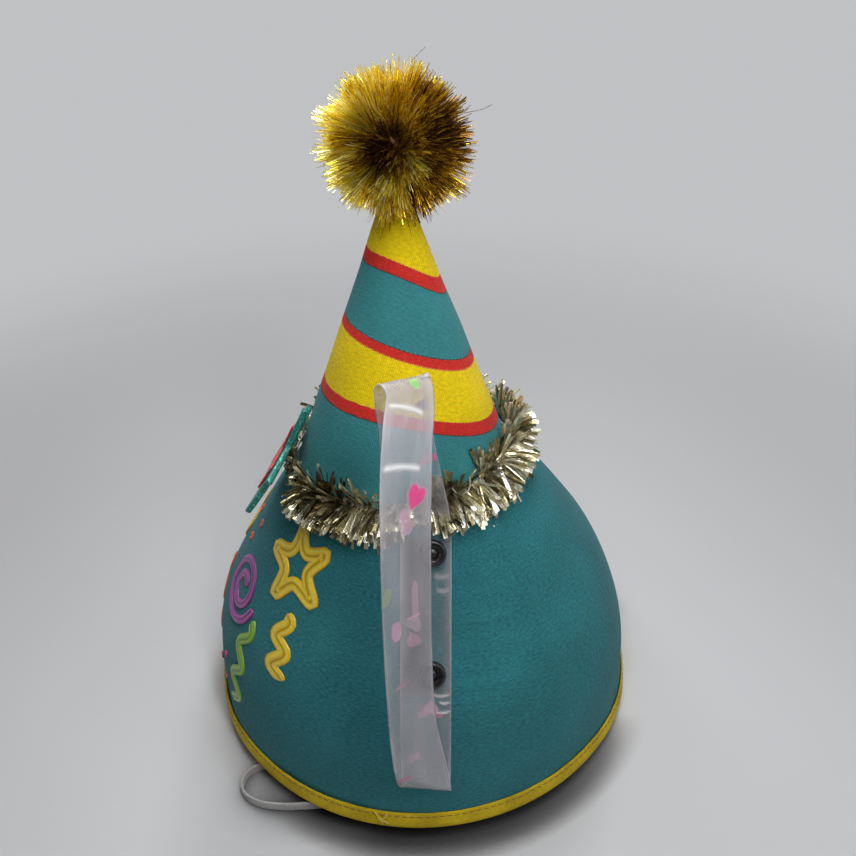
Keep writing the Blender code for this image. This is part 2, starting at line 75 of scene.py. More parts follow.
# Shape of the sewn body, as the solids have it
body = {
    "rimLength": 0.2, "rimWidth": 0.1946, "rimEgg": 0.028,
    "sideLift": 0.007, "sideSkew": 0.15, "flatShare": 0.2, "liftShare": 0.5,
    "domeHeight": 0.1351, "domeWall": 0.003, "topNarrowing": 0.938,
    "seamSlope": 0.1165, "seamForward": 0.0097,
    "coneTop": 0.2574, "coneForward": 0.0098, "coneWall": 0.0025,
    "tape": 0.0009, "gap": 0.0003,
    "outline": [(0.0, 1.0), (0.1, 0.987), (0.22, 0.975), (0.36, 0.939), (0.5, 0.868),
                (0.64, 0.757), (0.78, 0.641), (0.9, 0.53), (1.0, 0.439)],
}


def clamp(value, low=0.0, high=1.0):
    return min(max(value, low), high)


def smoothStep(value, start, end):
    share = clamp((value - start) / (end - start))
    return share * share * (3 - 2 * share)


def hill(value, middle, half):
    return exp(-((value - middle) / half) ** 2)


def bisect(low, high, turns, isBelow):
    for turn in range(turns):
        share = (low + high) / 2
        if isBelow(share):
            low = share
        else:
            high = share
    return share


def readOutline(points, place):
    last = len(points) - 2
    index = 0
    while index < last and place > points[index + 1][0]:
        index += 1
    low, high = points[index], points[index + 1]
    before, after = points[max(index - 1, 0)], points[min(index + 2, last + 1)]
    step = high[0] - low[0]
    share = (place - low[0]) / step
    slopeLow = (high[1] - before[1]) / (high[0] - before[0])
    slopeHigh = (after[1] - low[1]) / (after[0] - low[0])
    value = low[1] + (high[1] - low[1]) * (3 * share ** 2 - 2 * share ** 3)
    value += step * slopeLow * (share - 2 * share ** 2 + share ** 3)
    return value + step * slopeHigh * (share ** 3 - share ** 2)


def halfLengthAt(share):
    return body["rimLength"] / 2 * readOutline(body["outline"], share)


def rimLift(angle):
    rise = smoothStep(abs(cos(angle)), body["flatShare"], body["flatShare"] + body["liftShare"])
    return body["sideLift"] * rise * (1 - body["sideSkew"] * sin(angle))


def domePoint(angle, share):
    # angle 0 is the film's side and 90 degrees the back; share runs from the rim to the seam
    halfLength = halfLengthAt(share)
    narrow = body["rimWidth"] / body["rimLength"] * (1 - (1 - body["topNarrowing"]) * max(share, 0) ** 1.5)
    egg = 1 - body["rimEgg"] * (1 - share) * sin(angle)
    x = hatX + halfLength * narrow * egg * cos(angle)
    y = halfLength * sin(angle) - body["seamForward"] * max(share, 0) ** 1.3
    low = rimLift(angle) + body["tape"] + body["gap"]
    high = body["domeHeight"] + body["seamSlope"] * halfLength * sin(angle)
    return Vector((x, y, low * (1 - share) + high * share))


def domeOut(angle, share, small=0.01):
    rise = domePoint(angle, min(share + small, 1)) - domePoint(angle, max(share - small, 0))
    turn = domePoint(angle + small, share) - domePoint(angle - small, share)
    return turn.cross(rise).normalized()


def levelOut(angle, share):
    out = domeOut(angle, share)
    return Vector((out.x, out.y, 0)).normalized()


def conePoint(angle, share):
    foot = domePoint(angle, 1.0) + up * body["gap"]
    return foot.lerp(Vector((hatX, -body["coneForward"], body["coneTop"])), share)


def domeAt(y, height):
    # Place on the film's side of the dome at a given y and height
    def angleAt(share):
        return asin((y + body["seamForward"] * share ** 1.3) / halfLengthAt(share))

    share = bisect(0.0, 1.0, 40, lambda share: domePoint(angleAt(share), share).z < height)
    return angleAt(share), share


def smoothRoute(points, step, parts=12):
    # Evenly spaced points on a smooth curve through chosen ones
    dense = []
    for index in range(len(points) - 1):
        p0, p1 = points[max(index - 1, 0)], points[index]
        p2, p3 = points[index + 1], points[min(index + 2, len(points) - 1)]
        for t in [part / parts for part in range(parts)]:
            dense.append(0.5 * (2 * p1 + (p2 - p0) * t + (2 * p0 - 5 * p1 + 4 * p2 - p3) * t ** 2
                                + (3 * p1 - p0 - 3 * p2 + p3) * t ** 3))
    dense.append(points[-1])
    lengths = [0.0]
    for before, after in zip(dense, dense[1:]):
        lengths.append(lengths[-1] + (after.to_3d() - before.to_3d()).length)
    count = max(2, round(lengths[-1] / step))
    route = []
    index = 0
    for number in range(count + 1):
        wanted = lengths[-1] * number / count
        while index < len(dense) - 2 and lengths[index + 1] < wanted:
            index += 1
        share = (wanted - lengths[index]) / (lengths[index + 1] - lengths[index])
        route.append(dense[index].lerp(dense[index + 1], share))
    return route


def around(items, index):
    # The items before and after one place of a list, or the place itself at an end
    return items[max(index - 1, 0)], items[min(index + 1, len(items) - 1)]


def foldGrid(columns, rows, place, size=(1.0, 1.0), closed=True):
    # A flat grid folded into a surface; place turns two shares into a point, size scales the UV map
    work = bmesh.new()
    uvs = work.loops.layers.uv.new("UVMap")
    bmesh.ops.create_grid(work, x_segments=columns, y_segments=rows, size=0.5, calc_uvs=True)
    for face in work.faces:
        for corner in face.loops:
            corner[uvs].uv = (corner[uvs].uv.x * size[0], corner[uvs].uv.y * size[1])
    for vert in work.verts:
        vert.co = place(vert.co.x + 0.5, vert.co.y + 0.5)
    if closed:
        bmesh.ops.remove_doubles(work, verts=work.verts, dist=1e-6)
    return work


def mergeInto(whole, part):
    mesh = bpy.data.meshes.new("part")
    part.to_mesh(mesh)
    part.free()
    whole.from_mesh(mesh)
    bpy.data.meshes.remove(mesh)


def vertsOf(made):
    return [item for item in made["geom"] if isinstance(item, bmesh.types.BMVert)]


def faceOut(work):
    bmesh.ops.recalc_face_normals(work, faces=work.faces)


def finishPiece(name, work, materials, slotName, replaced=(), sharp=None):
    mesh = bpy.data.meshes.new(name)
    work.to_mesh(mesh)
    work.free()
    for material in materials:
        mesh.materials.append(material)
    mesh.shade_smooth()
    if sharp:
        mesh.set_sharp_from_angle(angle=radians(sharp))
    piece = addObject(name, mesh)
    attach(piece, "root")
    if replaced:
        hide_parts(*replaced)
    print(name, "made,", len(mesh.polygons), "faces")
    return piece


def thicken(piece, thickness, **settings):
    solid = piece.modifiers.new("solidify", "SOLIDIFY")
    solid.thickness = thickness
    for name, value in settings.items():
        setattr(solid, name, value)


class Look:
    # Adds nodes to one material or world
    def __init__(self, owner):
        owner.use_nodes = True
        self.owner, self.tree = owner, owner.node_tree

    def fill(self, node, inputs):
        for name, value in inputs.items():
            if isinstance(value, bpy.types.NodeSocket):
                self.tree.links.new(value, node.inputs[name])
            else:
                node.inputs[name].default_value = value

    def add(self, kind, inputs=None, **settings):
        made = self.tree.nodes.new("ShaderNode" + kind)
        for name, value in settings.items():
            setattr(made, name, value)
        self.fill(made, inputs or {})
        return made

    def place(self):
        return self.add("TexCoord").outputs["Object"]

    def uv(self):
        return self.add("UVMap", uv_map="UVMap").outputs[0]

    def tone(self, name):
        return self.add("Attribute", attribute_name=name).outputs["Fac"]

    def math(self, operation, *values):
        return self.add("Math", dict(enumerate(values)), operation=operation).outputs[0]

    def total(self, parts, start=0.0):
        # Adds each value times its share to start
        for value, share in parts:
            start = self.math("MULTIPLY_ADD", value, share, start)
        return start

    def mix(self, share, first, second, blend="MIX"):
        inputs = {0: share, 6: first, 7: second}
        return self.add("Mix", inputs, data_type="RGBA", blend_type=blend).outputs[2]

    def shaded(self, colour, value):
        grey = self.add("CombineColor", {0: value, 1: value, 2: value}).outputs[0]
        return self.mix(1.0, colour, grey, "MULTIPLY")

    def span(self, value, start, end, low, high, **settings):
        inputs = {"Value": value, "From Min": start, "From Max": end, "To Min": low, "To Max": high}
        return self.add("MapRange", inputs, **settings).outputs[0]

    def ramp(self, value, stops, smooth=True):
        made = self.add("ValToRGB", {0: value})
        made.color_ramp.interpolation = "LINEAR" if smooth else "CONSTANT"
        while len(made.color_ramp.elements) < len(stops):
            made.color_ramp.elements.new(1.0)
        for element, (place, colour) in zip(made.color_ramp.elements, stops):
            element.position = place
            element.color = (*colour, 1)
        return made.outputs[0]

    def noise(self, place, grain, detail=2.0, stretch=(1, 1, 1)):
        # grain is the size of a blotch, in metres
        spread = self.add("Mapping", {0: place, 3: [axis / grain for axis in stretch]}).outputs[0]
        return self.add("TexNoise", {"Vector": spread, "Scale": 1.0, "Detail": detail}).outputs[0]

    def ribs(self, place, pitch, distortion, detail, detailScale=1.0):
        inputs = {"Vector": place, "Scale": tau / 20 / pitch, "Distortion": distortion,
                  "Detail": detail, "Detail Scale": detailScale}
        return self.add("TexWave", inputs, bands_direction="X").outputs[1]

    def bump(self, height, depth, strength=1.0):
        return self.add("Bump", {"Strength": strength, "Distance": depth, "Height": height}).outputs[0]

    def shade(self, **sockets):
        named = {name.replace("_", " "): value for name, value in sockets.items()}
        self.fill(self.tree.nodes["Principled BSDF"], named)
        return self.owner


def newLook(name):
    return Look(bpy.data.materials.new(name))


def times(colour, share, more=0.0):
    return tuple(min(value * share + more, 1.0) for value in colour)


cloth = {
    "teal": (0.024, 0.172, 0.196), "lining": (0.3, 0.31, 0.31),
    "paleTeal": (0.042, 0.24, 0.26), "yellow": (0.87, 0.64, 0.003), "red": (0.66, 0.03, 0.022),    # on the cone
    "crepe": 0.00095, "crepeFlat": 1.9,    # size of the crinkles, and how much wider than tall they are
    "grain": 0.0005,              # size of the threads between them
    "ribPitch": 0.0008,           # ribs on the cone, side by side
    "depth": 0.00045,
    "dark": 0.3, "pale": 1.7,     # painted shade in a hollow of the crinkles and painted light on a crest
    "relief": 1.25, "blotch": 0.45, "blotchSize": 0.03,    # how strongly the crinkles' height sets that painted shade, then the strength and size of a random blotchy tone
}


def clothMaterial(name, colour, ribs=0.0, crepe=0.75, contrast=1.0):
    # Crinkled weave from the UV map, which is in metres; colour may be a function that adds the nodes of one
    look = newLook(name)
    uv = look.uv()
    crinkle = look.noise(uv, cloth["crepe"], stretch=(1 / cloth["crepeFlat"], 1, 1))
    height = look.total([(crinkle, crepe), (look.noise(uv, cloth["grain"], 1.0), 1 - crepe)])
    if ribs:
        rib = look.ribs(uv, cloth["ribPitch"], 2.4, 2.0, 0.4)
        height = look.total([(height, 1 - ribs), (rib, ribs)])
    base = colour(look) if callable(colour) else (*colour, 1)
    # both noises keep near one half, so their sum is stretched about it
    relief, blotch = cloth["relief"] * contrast, look.noise(look.place(), cloth["blotchSize"], 3.0)
    share = look.total([(height, relief), (blotch, cloth["blotch"])], 0.5 - 0.5 * (relief + cloth["blotch"]))
    # painted shade and light from the crinkles' height, mixed with the random blotchy tone
    light = look.add("Mix", {0: share, 2: cloth["dark"], 3: cloth["pale"]}, data_type="FLOAT").outputs[0]
    return look.shade(Base_Color=look.shaded(base, light), Normal=look.bump(height, cloth["depth"]),
                      Roughness=0.88, Sheen_Weight=0.05, Sheen_Roughness=0.5, Specular_IOR_Level=0.22)


teal = clothMaterial("teal_crepe", cloth["teal"])
lining = clothMaterial("grey_lining", cloth["lining"], crepe=0.3)

# Dome of foam-backed fabric: soft dents, puckers beside the film, pulls along the binding
domeSkin = {
    "columns": 288, "rows": 104, "flat": (0.5, 0.17),
    "dent": 0.0008, "dentSize": 0.045,
    "pucker": 0.0006, "puckerSize": 0.003, "puckerWide": 0.022, "puckerMiddle": 25.0, "puckerSpread": 17.0,
    "pull": 0.0005, "pulls": 150, "pullShare": 0.16,
    "fold": 0.0007, "foldTurn": 37.0, "foldWide": 3.6, "foldLean": 6,
    "seam": 120.0,                # degrees round from the film, where cloth and tape meet themselves
}


def domeRelief(angle, share):
    spot = domePoint(angle, share)
    value = domeSkin["dent"] * noise.noise(spot / domeSkin["dentSize"])
    turn = degrees(remainder(angle, tau))
    slanted = spot.z / domeSkin["puckerSize"] + spot.y * 25
    wave = noise.noise(Vector((spot.y / domeSkin["puckerWide"], 0.0, slanted)))
    beside = hill(turn, domeSkin["puckerMiddle"], domeSkin["puckerSpread"])
    value += domeSkin["pucker"] * beside * wave * smoothStep(share, 0.12, 0.35)
    ridge = hill(turn, domeSkin["foldTurn"] + domeSkin["foldLean"] * share, domeSkin["foldWide"])
    value += domeSkin["fold"] * ridge * smoothStep(share, 0.1, 0.4)
    reach = domeSkin["pulls"] / tau
    pull = noise.noise(Vector((reach * cos(angle), reach * sin(angle), 3 + share * 2)))
    value += domeSkin["pull"] * hill(share, 0, domeSkin["pullShare"]) * pull
    return value * smoothStep(share, 0.0, 0.05) * (1 - smoothStep(share, 0.94, 1.0))


def domeSurface(u, v):
    angle = tau * u + radians(domeSkin["seam"])
    return domePoint(angle, v) + domeOut(angle, v) * domeRelief(angle, v)


def makeDome():
    work = foldGrid(domeSkin["columns"], domeSkin["rows"], domeSurface, size=domeSkin["flat"])
    dome = finishPiece("dome_fabric", work, [teal, lining], "teal_fabric", ["dome_shell"])
    thicken(dome, body["domeWall"], offset=-1, use_even_offset=True, material_offset=1)


makeDome()

# Cone: one printed panel, with stripes that slope down towards the back
stripes = {
    # height at the cone's middle, slope towards the back, and bow up at the sides of the hat
    "edges": [(0.2218, -0.454, 24.0), (0.2166, -0.454, 24.0), (0.1926, -0.346, 4.7), (0.1889, -0.346, 4.7),
              (0.1648, -0.23, 7.2), (0.1598, -0.23, 7.2)],
    "lowest": 0.12,
    "order": ["yellow", "red", "paleTeal", "red", "yellow", "red", "paleTeal"],
    "line": 0.00015, "dark": (0.06, 0.05, 0.045), "pale": (0.7, 0.2, 0.06),    # thin, where two colours meet
    "ragged": 0.012, "raggedSize": 0.0007,
    "slant": 0.129, "panelTurn": 2.06,    # the flat panel's radius, and its angle in radians
    "columns": 240, "rows": 150, "reach": 0.985,
    "dent": 0.0006, "dentSize": 0.024,
}


def stripeValue(point):
    # 0 at the tip, and one more below each edge of colour
    heights = [body["coneTop"]]
    for height, slope, bow in stripes["edges"]:
        heights.append(height + slope * (point.y + body["seamForward"]) + bow * (point.x - hatX) ** 2)
    heights.append(stripes["lowest"])
    for number, (above, below) in enumerate(zip(heights, heights[1:])):
        if point.z >= below:
            return number + clamp((above - point.z) / (above - below))
    return 7.0


def stripeColour(look):
    ragged = look.noise(look.place(), stripes["raggedSize"], 1.0)
    value = look.total([(ragged, stripes["ragged"]), (look.tone("stripe"), 1.0)], -0.5 * stripes["ragged"])
    order = stripes["order"]
    heights = [body["coneTop"]] + [edge[0] for edge in stripes["edges"]] + [stripes["lowest"]]
    stops = [(0.0, cloth["yellow"])]
    for number in range(1, 7):
        above, below = order[number - 1], order[number]
        band = number - 1 if above == "red" else number    # the line lies on the red stripe
        width = stripes["line"] / (heights[band] - heights[band + 1])
        first = number - width if above == "red" else number
        stops.append((first / 7, stripes["dark" if "paleTeal" in (above, below) else "pale"]))
        stops.append(((first + width) / 7, cloth[below]))
    return look.ramp(look.math("DIVIDE", value, 7.0), stops, smooth=False)


def coneSurface(u, v):
    share = v * stripes["reach"]
    spot = conePoint(tau * u + radians(domeSkin["seam"]), share)
    out = (spot - Vector((hatX, -body["coneForward"], spot.z))).normalized()
    dent = stripes["dent"] * noise.noise(spot / stripes["dentSize"] + Vector((5, 1, 2)))
    return spot + out * dent * smoothStep(share, 0.0, 0.06) * (1 - smoothStep(share, 0.7, 0.95))


def makeCone():
    work = foldGrid(stripes["columns"], stripes["rows"], coneSurface)
    uvs = work.loops.layers.uv["UVMap"]
    for face in work.faces:
        for corner in face.loops:    # the cloth's map is the flat panel that the cone is rolled from
            u, v = corner[uvs].uv
            turn = (u - 0.5) * stripes["panelTurn"]
            reach = stripes["slant"] * (1 - v)
            corner[uvs].uv = (reach * sin(turn), reach * cos(turn))
    stripe = work.verts.layers.float.new("stripe")
    for vert in work.verts:
        vert[stripe] = stripeValue(vert.co)
    rims = [edge for edge in work.edges if edge.is_boundary and edge.verts[0].co.z > body["coneTop"] - 0.01]
    tip = vertsOf(bmesh.ops.extrude_edge_only(work, edges=rims))
    bmesh.ops.pointmerge(work, verts=tip, merge_co=(hatX, -body["coneForward"], body["coneTop"] - 0.0005))
    striped = clothMaterial("striped_crepe", stripeColour, ribs=0.16, contrast=0.6)
    cone = finishPiece("cone_fabric", work, [striped, lining], "striped_fabric", ["cone_shell"])
    thicken(cone, body["coneWall"], offset=-1, material_offset=1)


makeCone()

# Folded tape over the rim's edge, with its line of stitches
tape = {
    "colour": (0.72, 0.52, 0.01), "fold": (0.57, 0.39, 0.008), "stain": 0.012,
    "stitchUp": 0.0072,           # stitches above the rim's lower edge
    "pitch": 0.0031, "stitch": 0.0024, "thread": 0.00042, "threadColour": (0.3, 0.11, 0.01),
    "length": 0.62, "flat": 0.026, "stations": 520,
    "tugUp": 0.00012, "tugOut": 0.00006, "waver": 0.00025,
    "outside": [    # share of the way out from the dome's face, height; a U round the rim's edge
        (1.0, 0.0004), (1.12, 0.0016), (1.16, 0.0036), (1.1, 0.0056), (0.92, 0.007), (1.02, 0.008), (1.0, 0.0087),
        (0.72, 0.0092), (0.3, 0.0091), (0.1, 0.0086), (0.04, 0.005), (0.04, 0.001)],
    "inside": [    # the same inside the wall, from the bottom up and back down
        (0.04, 0.001), (0.04, 0.005), (0.2, 0.0078), (0.7, 0.0078), (1.0, 0.007), (1.1, 0.004), (1.0, 0.0006),
        (0.6, 0.0)],
    "underside": -0.0015,         # middle of the tape under the wall
}


def tapePoint(angle, across, height):
    foot, out = domePoint(angle, 0.0), levelOut(angle, 0.0)
    lift = rimLift(angle)
    share = max(height - body["tape"] - body["gap"], 0.0) / (body["domeHeight"] - lift)
    lean = (domePoint(angle, share) - foot).dot(out)
    foot.z = lift
    return foot + out * (across + lean) + up * height


def tapeOutline():
    near, far, thick = body["gap"], -body["domeWall"] - body["gap"], body["tape"]
    outside = [(near + thick * across, height) for across, height in tape["outside"]]
    inside = [(far - thick * across, height) for across, height in tape["inside"]]
    return outside + inside + [(tape["underside"], 0.0), (near + thick * 0.6, 0.0)]


def tapeColour(look):
    stain = look.noise(look.place(), tape["stain"], 3.0)
    return look.ramp(stain, [(0.3, tape["fold"]), (0.62, tape["colour"])])


def makeTape():
    outline = tapeOutline()

    def place(u, v):
        angle = tau * u + radians(domeSkin["seam"])
        across, height = outline[round(v * len(outline)) % len(outline)]
        tug = cos(tau * u * round(tape["length"] / tape["pitch"]))
        if height > 0.006 and across > 0:
            height += tape["tugUp"] * tug
            across += tape["tugOut"] * tug
        waver = tape["waver"] * noise.noise(Vector((cos(angle) * 9, sin(angle) * 9, 4.0)))
        return tapePoint(angle, across, height + waver * smoothStep(height, 0.002, 0.006))

    work = foldGrid(tape["stations"], len(outline), place, size=(tape["length"], tape["flat"]))
    faceOut(work)
    olive = clothMaterial("olive_tape", tapeColour, crepe=0.4, contrast=0.7)
    finishPiece("rim_tape", work, [olive], "yellow_tape", ["rim_binding"])


def threadMaterial(name, colour, roughness=0.6):
    look = newLook(name)
    ply = look.noise(look.place(), 0.0004)
    return look.shade(Base_Color=look.ramp(ply, [(0.35, times(colour, 0.55)), (0.65, colour)]),
                      Normal=look.bump(ply, 0.0001), Roughness=roughness, Sheen_Weight=0.2)


def makeStitches():
    count = round(tape["length"] / tape["pitch"])
    across = body["gap"] + body["tape"] * 0.98
    shape = Matrix.Diagonal((tape["stitch"] / 2, tape["thread"] / 2, tape["thread"] / 2, 1))
    work = bmesh.new()
    for number in range(count):
        angle = tau * (number + 0.5) / count
        spot, ahead = [tapePoint(angle + step * tau / count, across, tape["stitchUp"]) for step in (0, 0.1)]
        along, out = (ahead - spot).normalized(), levelOut(angle, 0.0)
        turned = Matrix((along, out, along.cross(out))).transposed().to_4x4()
        turned.translation = spot
        bmesh.ops.create_uvsphere(work, u_segments=8, v_segments=6, radius=1.0,
                                  matrix=turned @ shape @ Matrix.Rotation(pi / 2, 4, "Y"))
    finishPiece("rim_stitches", work, [threadMaterial("brown_thread", tape["threadColour"])], "yellow_tape")


makeTape()
makeStitches()

# Elastic: a flat ribbed band that stands on its edge, sewn inside at both sides
elastic = {
    "width": 0.005, "thickness": 0.0011, "ribs": 5, "around": 40, "step": 0.0016,
    "colour": (0.56, 0.545, 0.53), "knit": 0.0009, "fuzz": 0.0012,
    # in the hat's own frame, from the film's side round to the far side
    "route": [
        (0.0885, 0.008, 0.015), (0.0868, -0.001, 0.011), (0.0855, -0.012, 0.006), (0.0848, -0.024, 0.0029),
        (0.085, -0.037, 0.0029), (0.086, -0.05, 0.0029), (0.0864, -0.062, 0.0029), (0.0846, -0.073, 0.0029),
        (0.079, -0.08, 0.0029), (0.0715, -0.0795, 0.0029), (0.0668, -0.0725, 0.0029), (0.065, -0.061, 0.0029),
        (0.059, -0.046, 0.0029), (0.046, -0.03, 0.0029), (0.027, -0.015, 0.0029), (0.004, -0.004, 0.0029),
        (-0.02, 0.002, 0.0029), (-0.044, 0.004, 0.0029), (-0.064, 0.004, 0.004), (-0.079, 0.003, 0.0085),
        (-0.0885, 0.002, 0.015)],
}


def ribbedMaterial():
    look = newLook("white_elastic")
    uv = look.uv()
    shade = look.total([(look.ribs(uv, elastic["knit"], 1.0, 1.0), 0.3), (look.noise(uv, elastic["fuzz"], 3.0), 0.7)])
    stops = [(0.25, times(elastic["colour"], 0.62)), (0.65, elastic["colour"])]
    return look.shade(Base_Color=look.ramp(shade, stops), Normal=look.bump(shade, 0.0001),
                      Roughness=0.8, Sheen_Weight=0.3)


def routeFrom(points):
    return [Vector((x + hatX, y, z)) for x, y, z in points]


def makeElastic():
    route = smoothRoute(routeFrom(elastic["route"]), elastic["step"])
    length = sum((b - a).length for a, b in zip(route, route[1:]))

    def place(u, v):
        index = min(round(u * (len(route) - 1)), len(route) - 1)
        before, after = around(route, index)
        along = (after - before).normalized()
        side = along.cross(up).normalized()
        turn = tau * v
        across = copysign(abs(cos(turn)) ** 0.7, cos(turn))
        rib = 0.72 + 0.28 * abs(cos(pi * elastic["ribs"] * (across + 1) / 2))
        flat = copysign(abs(sin(turn)) ** 0.35, sin(turn)) * rib * elastic["thickness"] / 2
        return route[index] + side.cross(along) * across * elastic["width"] / 2 + side * flat

    work = foldGrid(len(route) - 1, elastic["around"], place, size=(length, 2 * elastic["width"]))
    bmesh.ops.holes_fill(work, edges=[edge for edge in work.edges if edge.is_boundary], sides=0)
    faceOut(work)
    band = finishPiece("elastic_band", work, [ribbedMaterial()], "white_elastic", ["chin_elastic"])


makeElastic()
print("camera, cloth and elastic done")

# Foil strips, for the garland and the ball


def foilMaterial(name, foil):
    look = newLook(name)
    crease = look.noise(look.place(), 0.0022)
    value = look.total([(crease, 0.25), (look.tone("tone"), 1.0)], -0.125)
    return look.shade(Base_Color=look.ramp(value, foil["tones"]), Normal=look.bump(crease, 0.0003, 0.6),
                      Metallic=foil["metal"], Roughness=foil["roughness"])


def addStrip(work, toneLayer, start, along, across, length, width, bend, tone, parts=4, fold=0.0):
    # A narrow grid laid along a direction; bend carries its tip away, fold lifts its middle line
    lift = across.cross(along)
    made = bmesh.ops.create_grid(work, x_segments=2 if fold else 1, y_segments=parts, size=0.5)
    for vert in made["verts"]:
        share, side = vert.co.y + 0.5, vert.co.x
        vert.co = start + along * length * share + bend * share * share
        vert.co += across * side * width + lift * fold * (1 - 2 * abs(side))
        vert[toneLayer] = tone


def newWork():
    work = bmesh.new()
    return work, work.verts.layers.float.new("tone")


def stripBatches(count, addOne, batch=250):
    # Strips are made in small batches, because an operator slows down in a large mesh
    whole, toneLayer = newWork()
    for done in range(0, count, batch):
        part, partLayer = newWork()
        for number in range(done, min(done + batch, count)):
            addOne(part, partLayer, number)
        mergeInto(whole, part)
    return whole


def randomDirection(dice):
    height, turn = dice.uniform(-1, 1), dice.uniform(0, tau)
    flat = sqrt(1 - height * height)
    return Vector((flat * cos(turn), flat * sin(turn), height))


# Tinsel ball: thousands of foil needles round one knot
ball = {
    "radius": 0.0246, "middle": (hatX, -0.0094, 0.2622),
    "needles": 17000, "width": 0.00024, "start": 0.007, "core": 0.01,
    "tufts": 260, "gather": 0.55, "uneven": 0.06, "longer": 0.12, "curved": 0.12, "unruly": 0.1,
    # painted light and painted shade on the needles, by direction; patchy and mixed tone differ at random
    "tone": 0.64, "paintedLight": 0.46, "patchy": 0.3, "mixed": 0.22, "paintedShade": 0.85,
    "shadeFacing": (0.93, -0.26, 0.24),       # painted shade: the needles are dark brown round this side, towards the camera
    "tuft": (0.17, 0.88, -0.52),      # and has one bright longer tuft here
    "bright": (0.2, -0.97, 0.04),     # painted light: the needles are yellower towards here
    "roughness": 0.24, "metal": 0.72,
    "tones": [(0.0, (0.07, 0.026, 0.006)), (0.3, (0.3, 0.13, 0.012)), (0.52, (0.72, 0.43, 0.018)),
              (0.72, (0.98, 0.72, 0.016)), (0.9, (1.0, 0.86, 0.05)), (1.0, (1.0, 0.94, 0.4))],
}


def makeBall():
    dice = random.Random(11)
    middle = Vector(ball["middle"])
    bright, shadeFacing, far = [Vector(ball[name]).normalized() for name in ("bright", "shadeFacing", "tuft")]
    tufts = [(randomDirection(dice), dice.gauss(0, 0.16), dice.gauss(0, 0.028), randomDirection(dice))
             for number in range(ball["tufts"])]

    def addOne(work, toneLayer, number):
        root = randomDirection(dice)
        tuft, tuftTone, tuftReach, tuftBend = max(tufts, key=lambda item: item[0].dot(root))
        aim = root.lerp(tuft, ball["gather"] * dice.random() ** 0.5).normalized()
        reach = ball["radius"] * (1 + tuftReach - abs(dice.gauss(0, ball["uneven"])))
        if aim.z < -0.82:    # shorter round the tip of the cone
            reach *= 0.7 + 0.4 * dice.random()
        across = aim.cross(randomDirection(dice)).normalized()
        bend = (tuftBend * ball["curved"] + randomDirection(dice) * ball["unruly"]) * reach
        patch = noise.noise(root * 1.7 + Vector((3, 1, 4)))
        longer = smoothStep(root.dot(far), 0.955, 0.985)
        reach *= 1 + ball["longer"] * longer
        # painted light yellows the needles towards the bright side, painted shade darkens them towards the camera
        tone = ball["tone"] + ball["paintedLight"] * root.dot(bright) + tuftTone
        tone += ball["patchy"] * patch + dice.gauss(0, ball["mixed"])
        tone = clamp(tone - ball["paintedShade"] * smoothStep(root.dot(shadeFacing), 0.84, 0.97) + 0.35 * longer)
        addStrip(work, toneLayer, middle + root * ball["start"], aim, across, reach - ball["start"],
                 ball["width"] * dice.uniform(0.6, 1.4), bend, tone, parts=2)

    whole = stripBatches(ball["needles"], addOne)
    bmesh.ops.create_icosphere(whole, subdivisions=3, radius=ball["core"], matrix=Matrix.Translation(middle))
    finishPiece("tinsel_ball", whole, [foilMaterial("gold_foil", ball)], "gold_foil", ["pompom"])


makeBall()

# Garland: bunches of flat foil strips held between two twisted wires
garland = {
    "bunches": 230, "perBunch": 13, "reach": (0.0105, 0.015), "width": (0.001, 0.002),
    "offSeam": 0.0012, "out": 0.0017, "wire": 0.00045, "twist": 60,    # the wires, up and out from the seam
    "clear": 0.0005,              # between a strip and the cloth
    "pressed": [(-1.0, 14.0, 0.55), (-128.0, -58.0, 0.35)],    # from, to, share of the length: film and star
    "upright": 0.32,              # share of the bunches that stand up against the cone
    "tone": 0.66, "shaded": 0.2, "mixed": 0.22, "sag": 0.22, "roughness": 0.22, "metal": 0.8,
    "tones": [(0.0, (0.03, 0.024, 0.012)), (0.3, (0.21, 0.17, 0.07)), (0.55, (0.56, 0.5, 0.3)),
              (0.8, (0.82, 0.78, 0.6)), (1.0, (0.97, 0.96, 0.88))],
}


def garlandSeat(angle):
    share = garland["offSeam"] / (body["coneTop"] - body["domeHeight"])
    out = levelOut(angle, 1.0)
    return conePoint(angle, share) + out * garland["out"], out


def keepOutside(point):
    # Push a point out of the dome or the cone, level with where it is
    axis = Vector((hatX, -body["seamForward"], point.z))
    turn = atan2(point.y - axis.y, (point.x - hatX) / 0.92)
    seam = domePoint(turn, 1.0)
    if point.z > seam.z:
        wall = conePoint(turn, clamp((point.z - seam.z) / (body["coneTop"] - seam.z)))
    else:
        wall = domePoint(turn, bisect(0.6, 1.0, 10, lambda share: domePoint(turn, share).z < point.z))
    reach = (wall - axis).to_2d().length + garland["clear"]
    flat = (point - axis).to_2d()
    return point if flat.length >= reach else axis + (flat.normalized() * reach).to_3d()


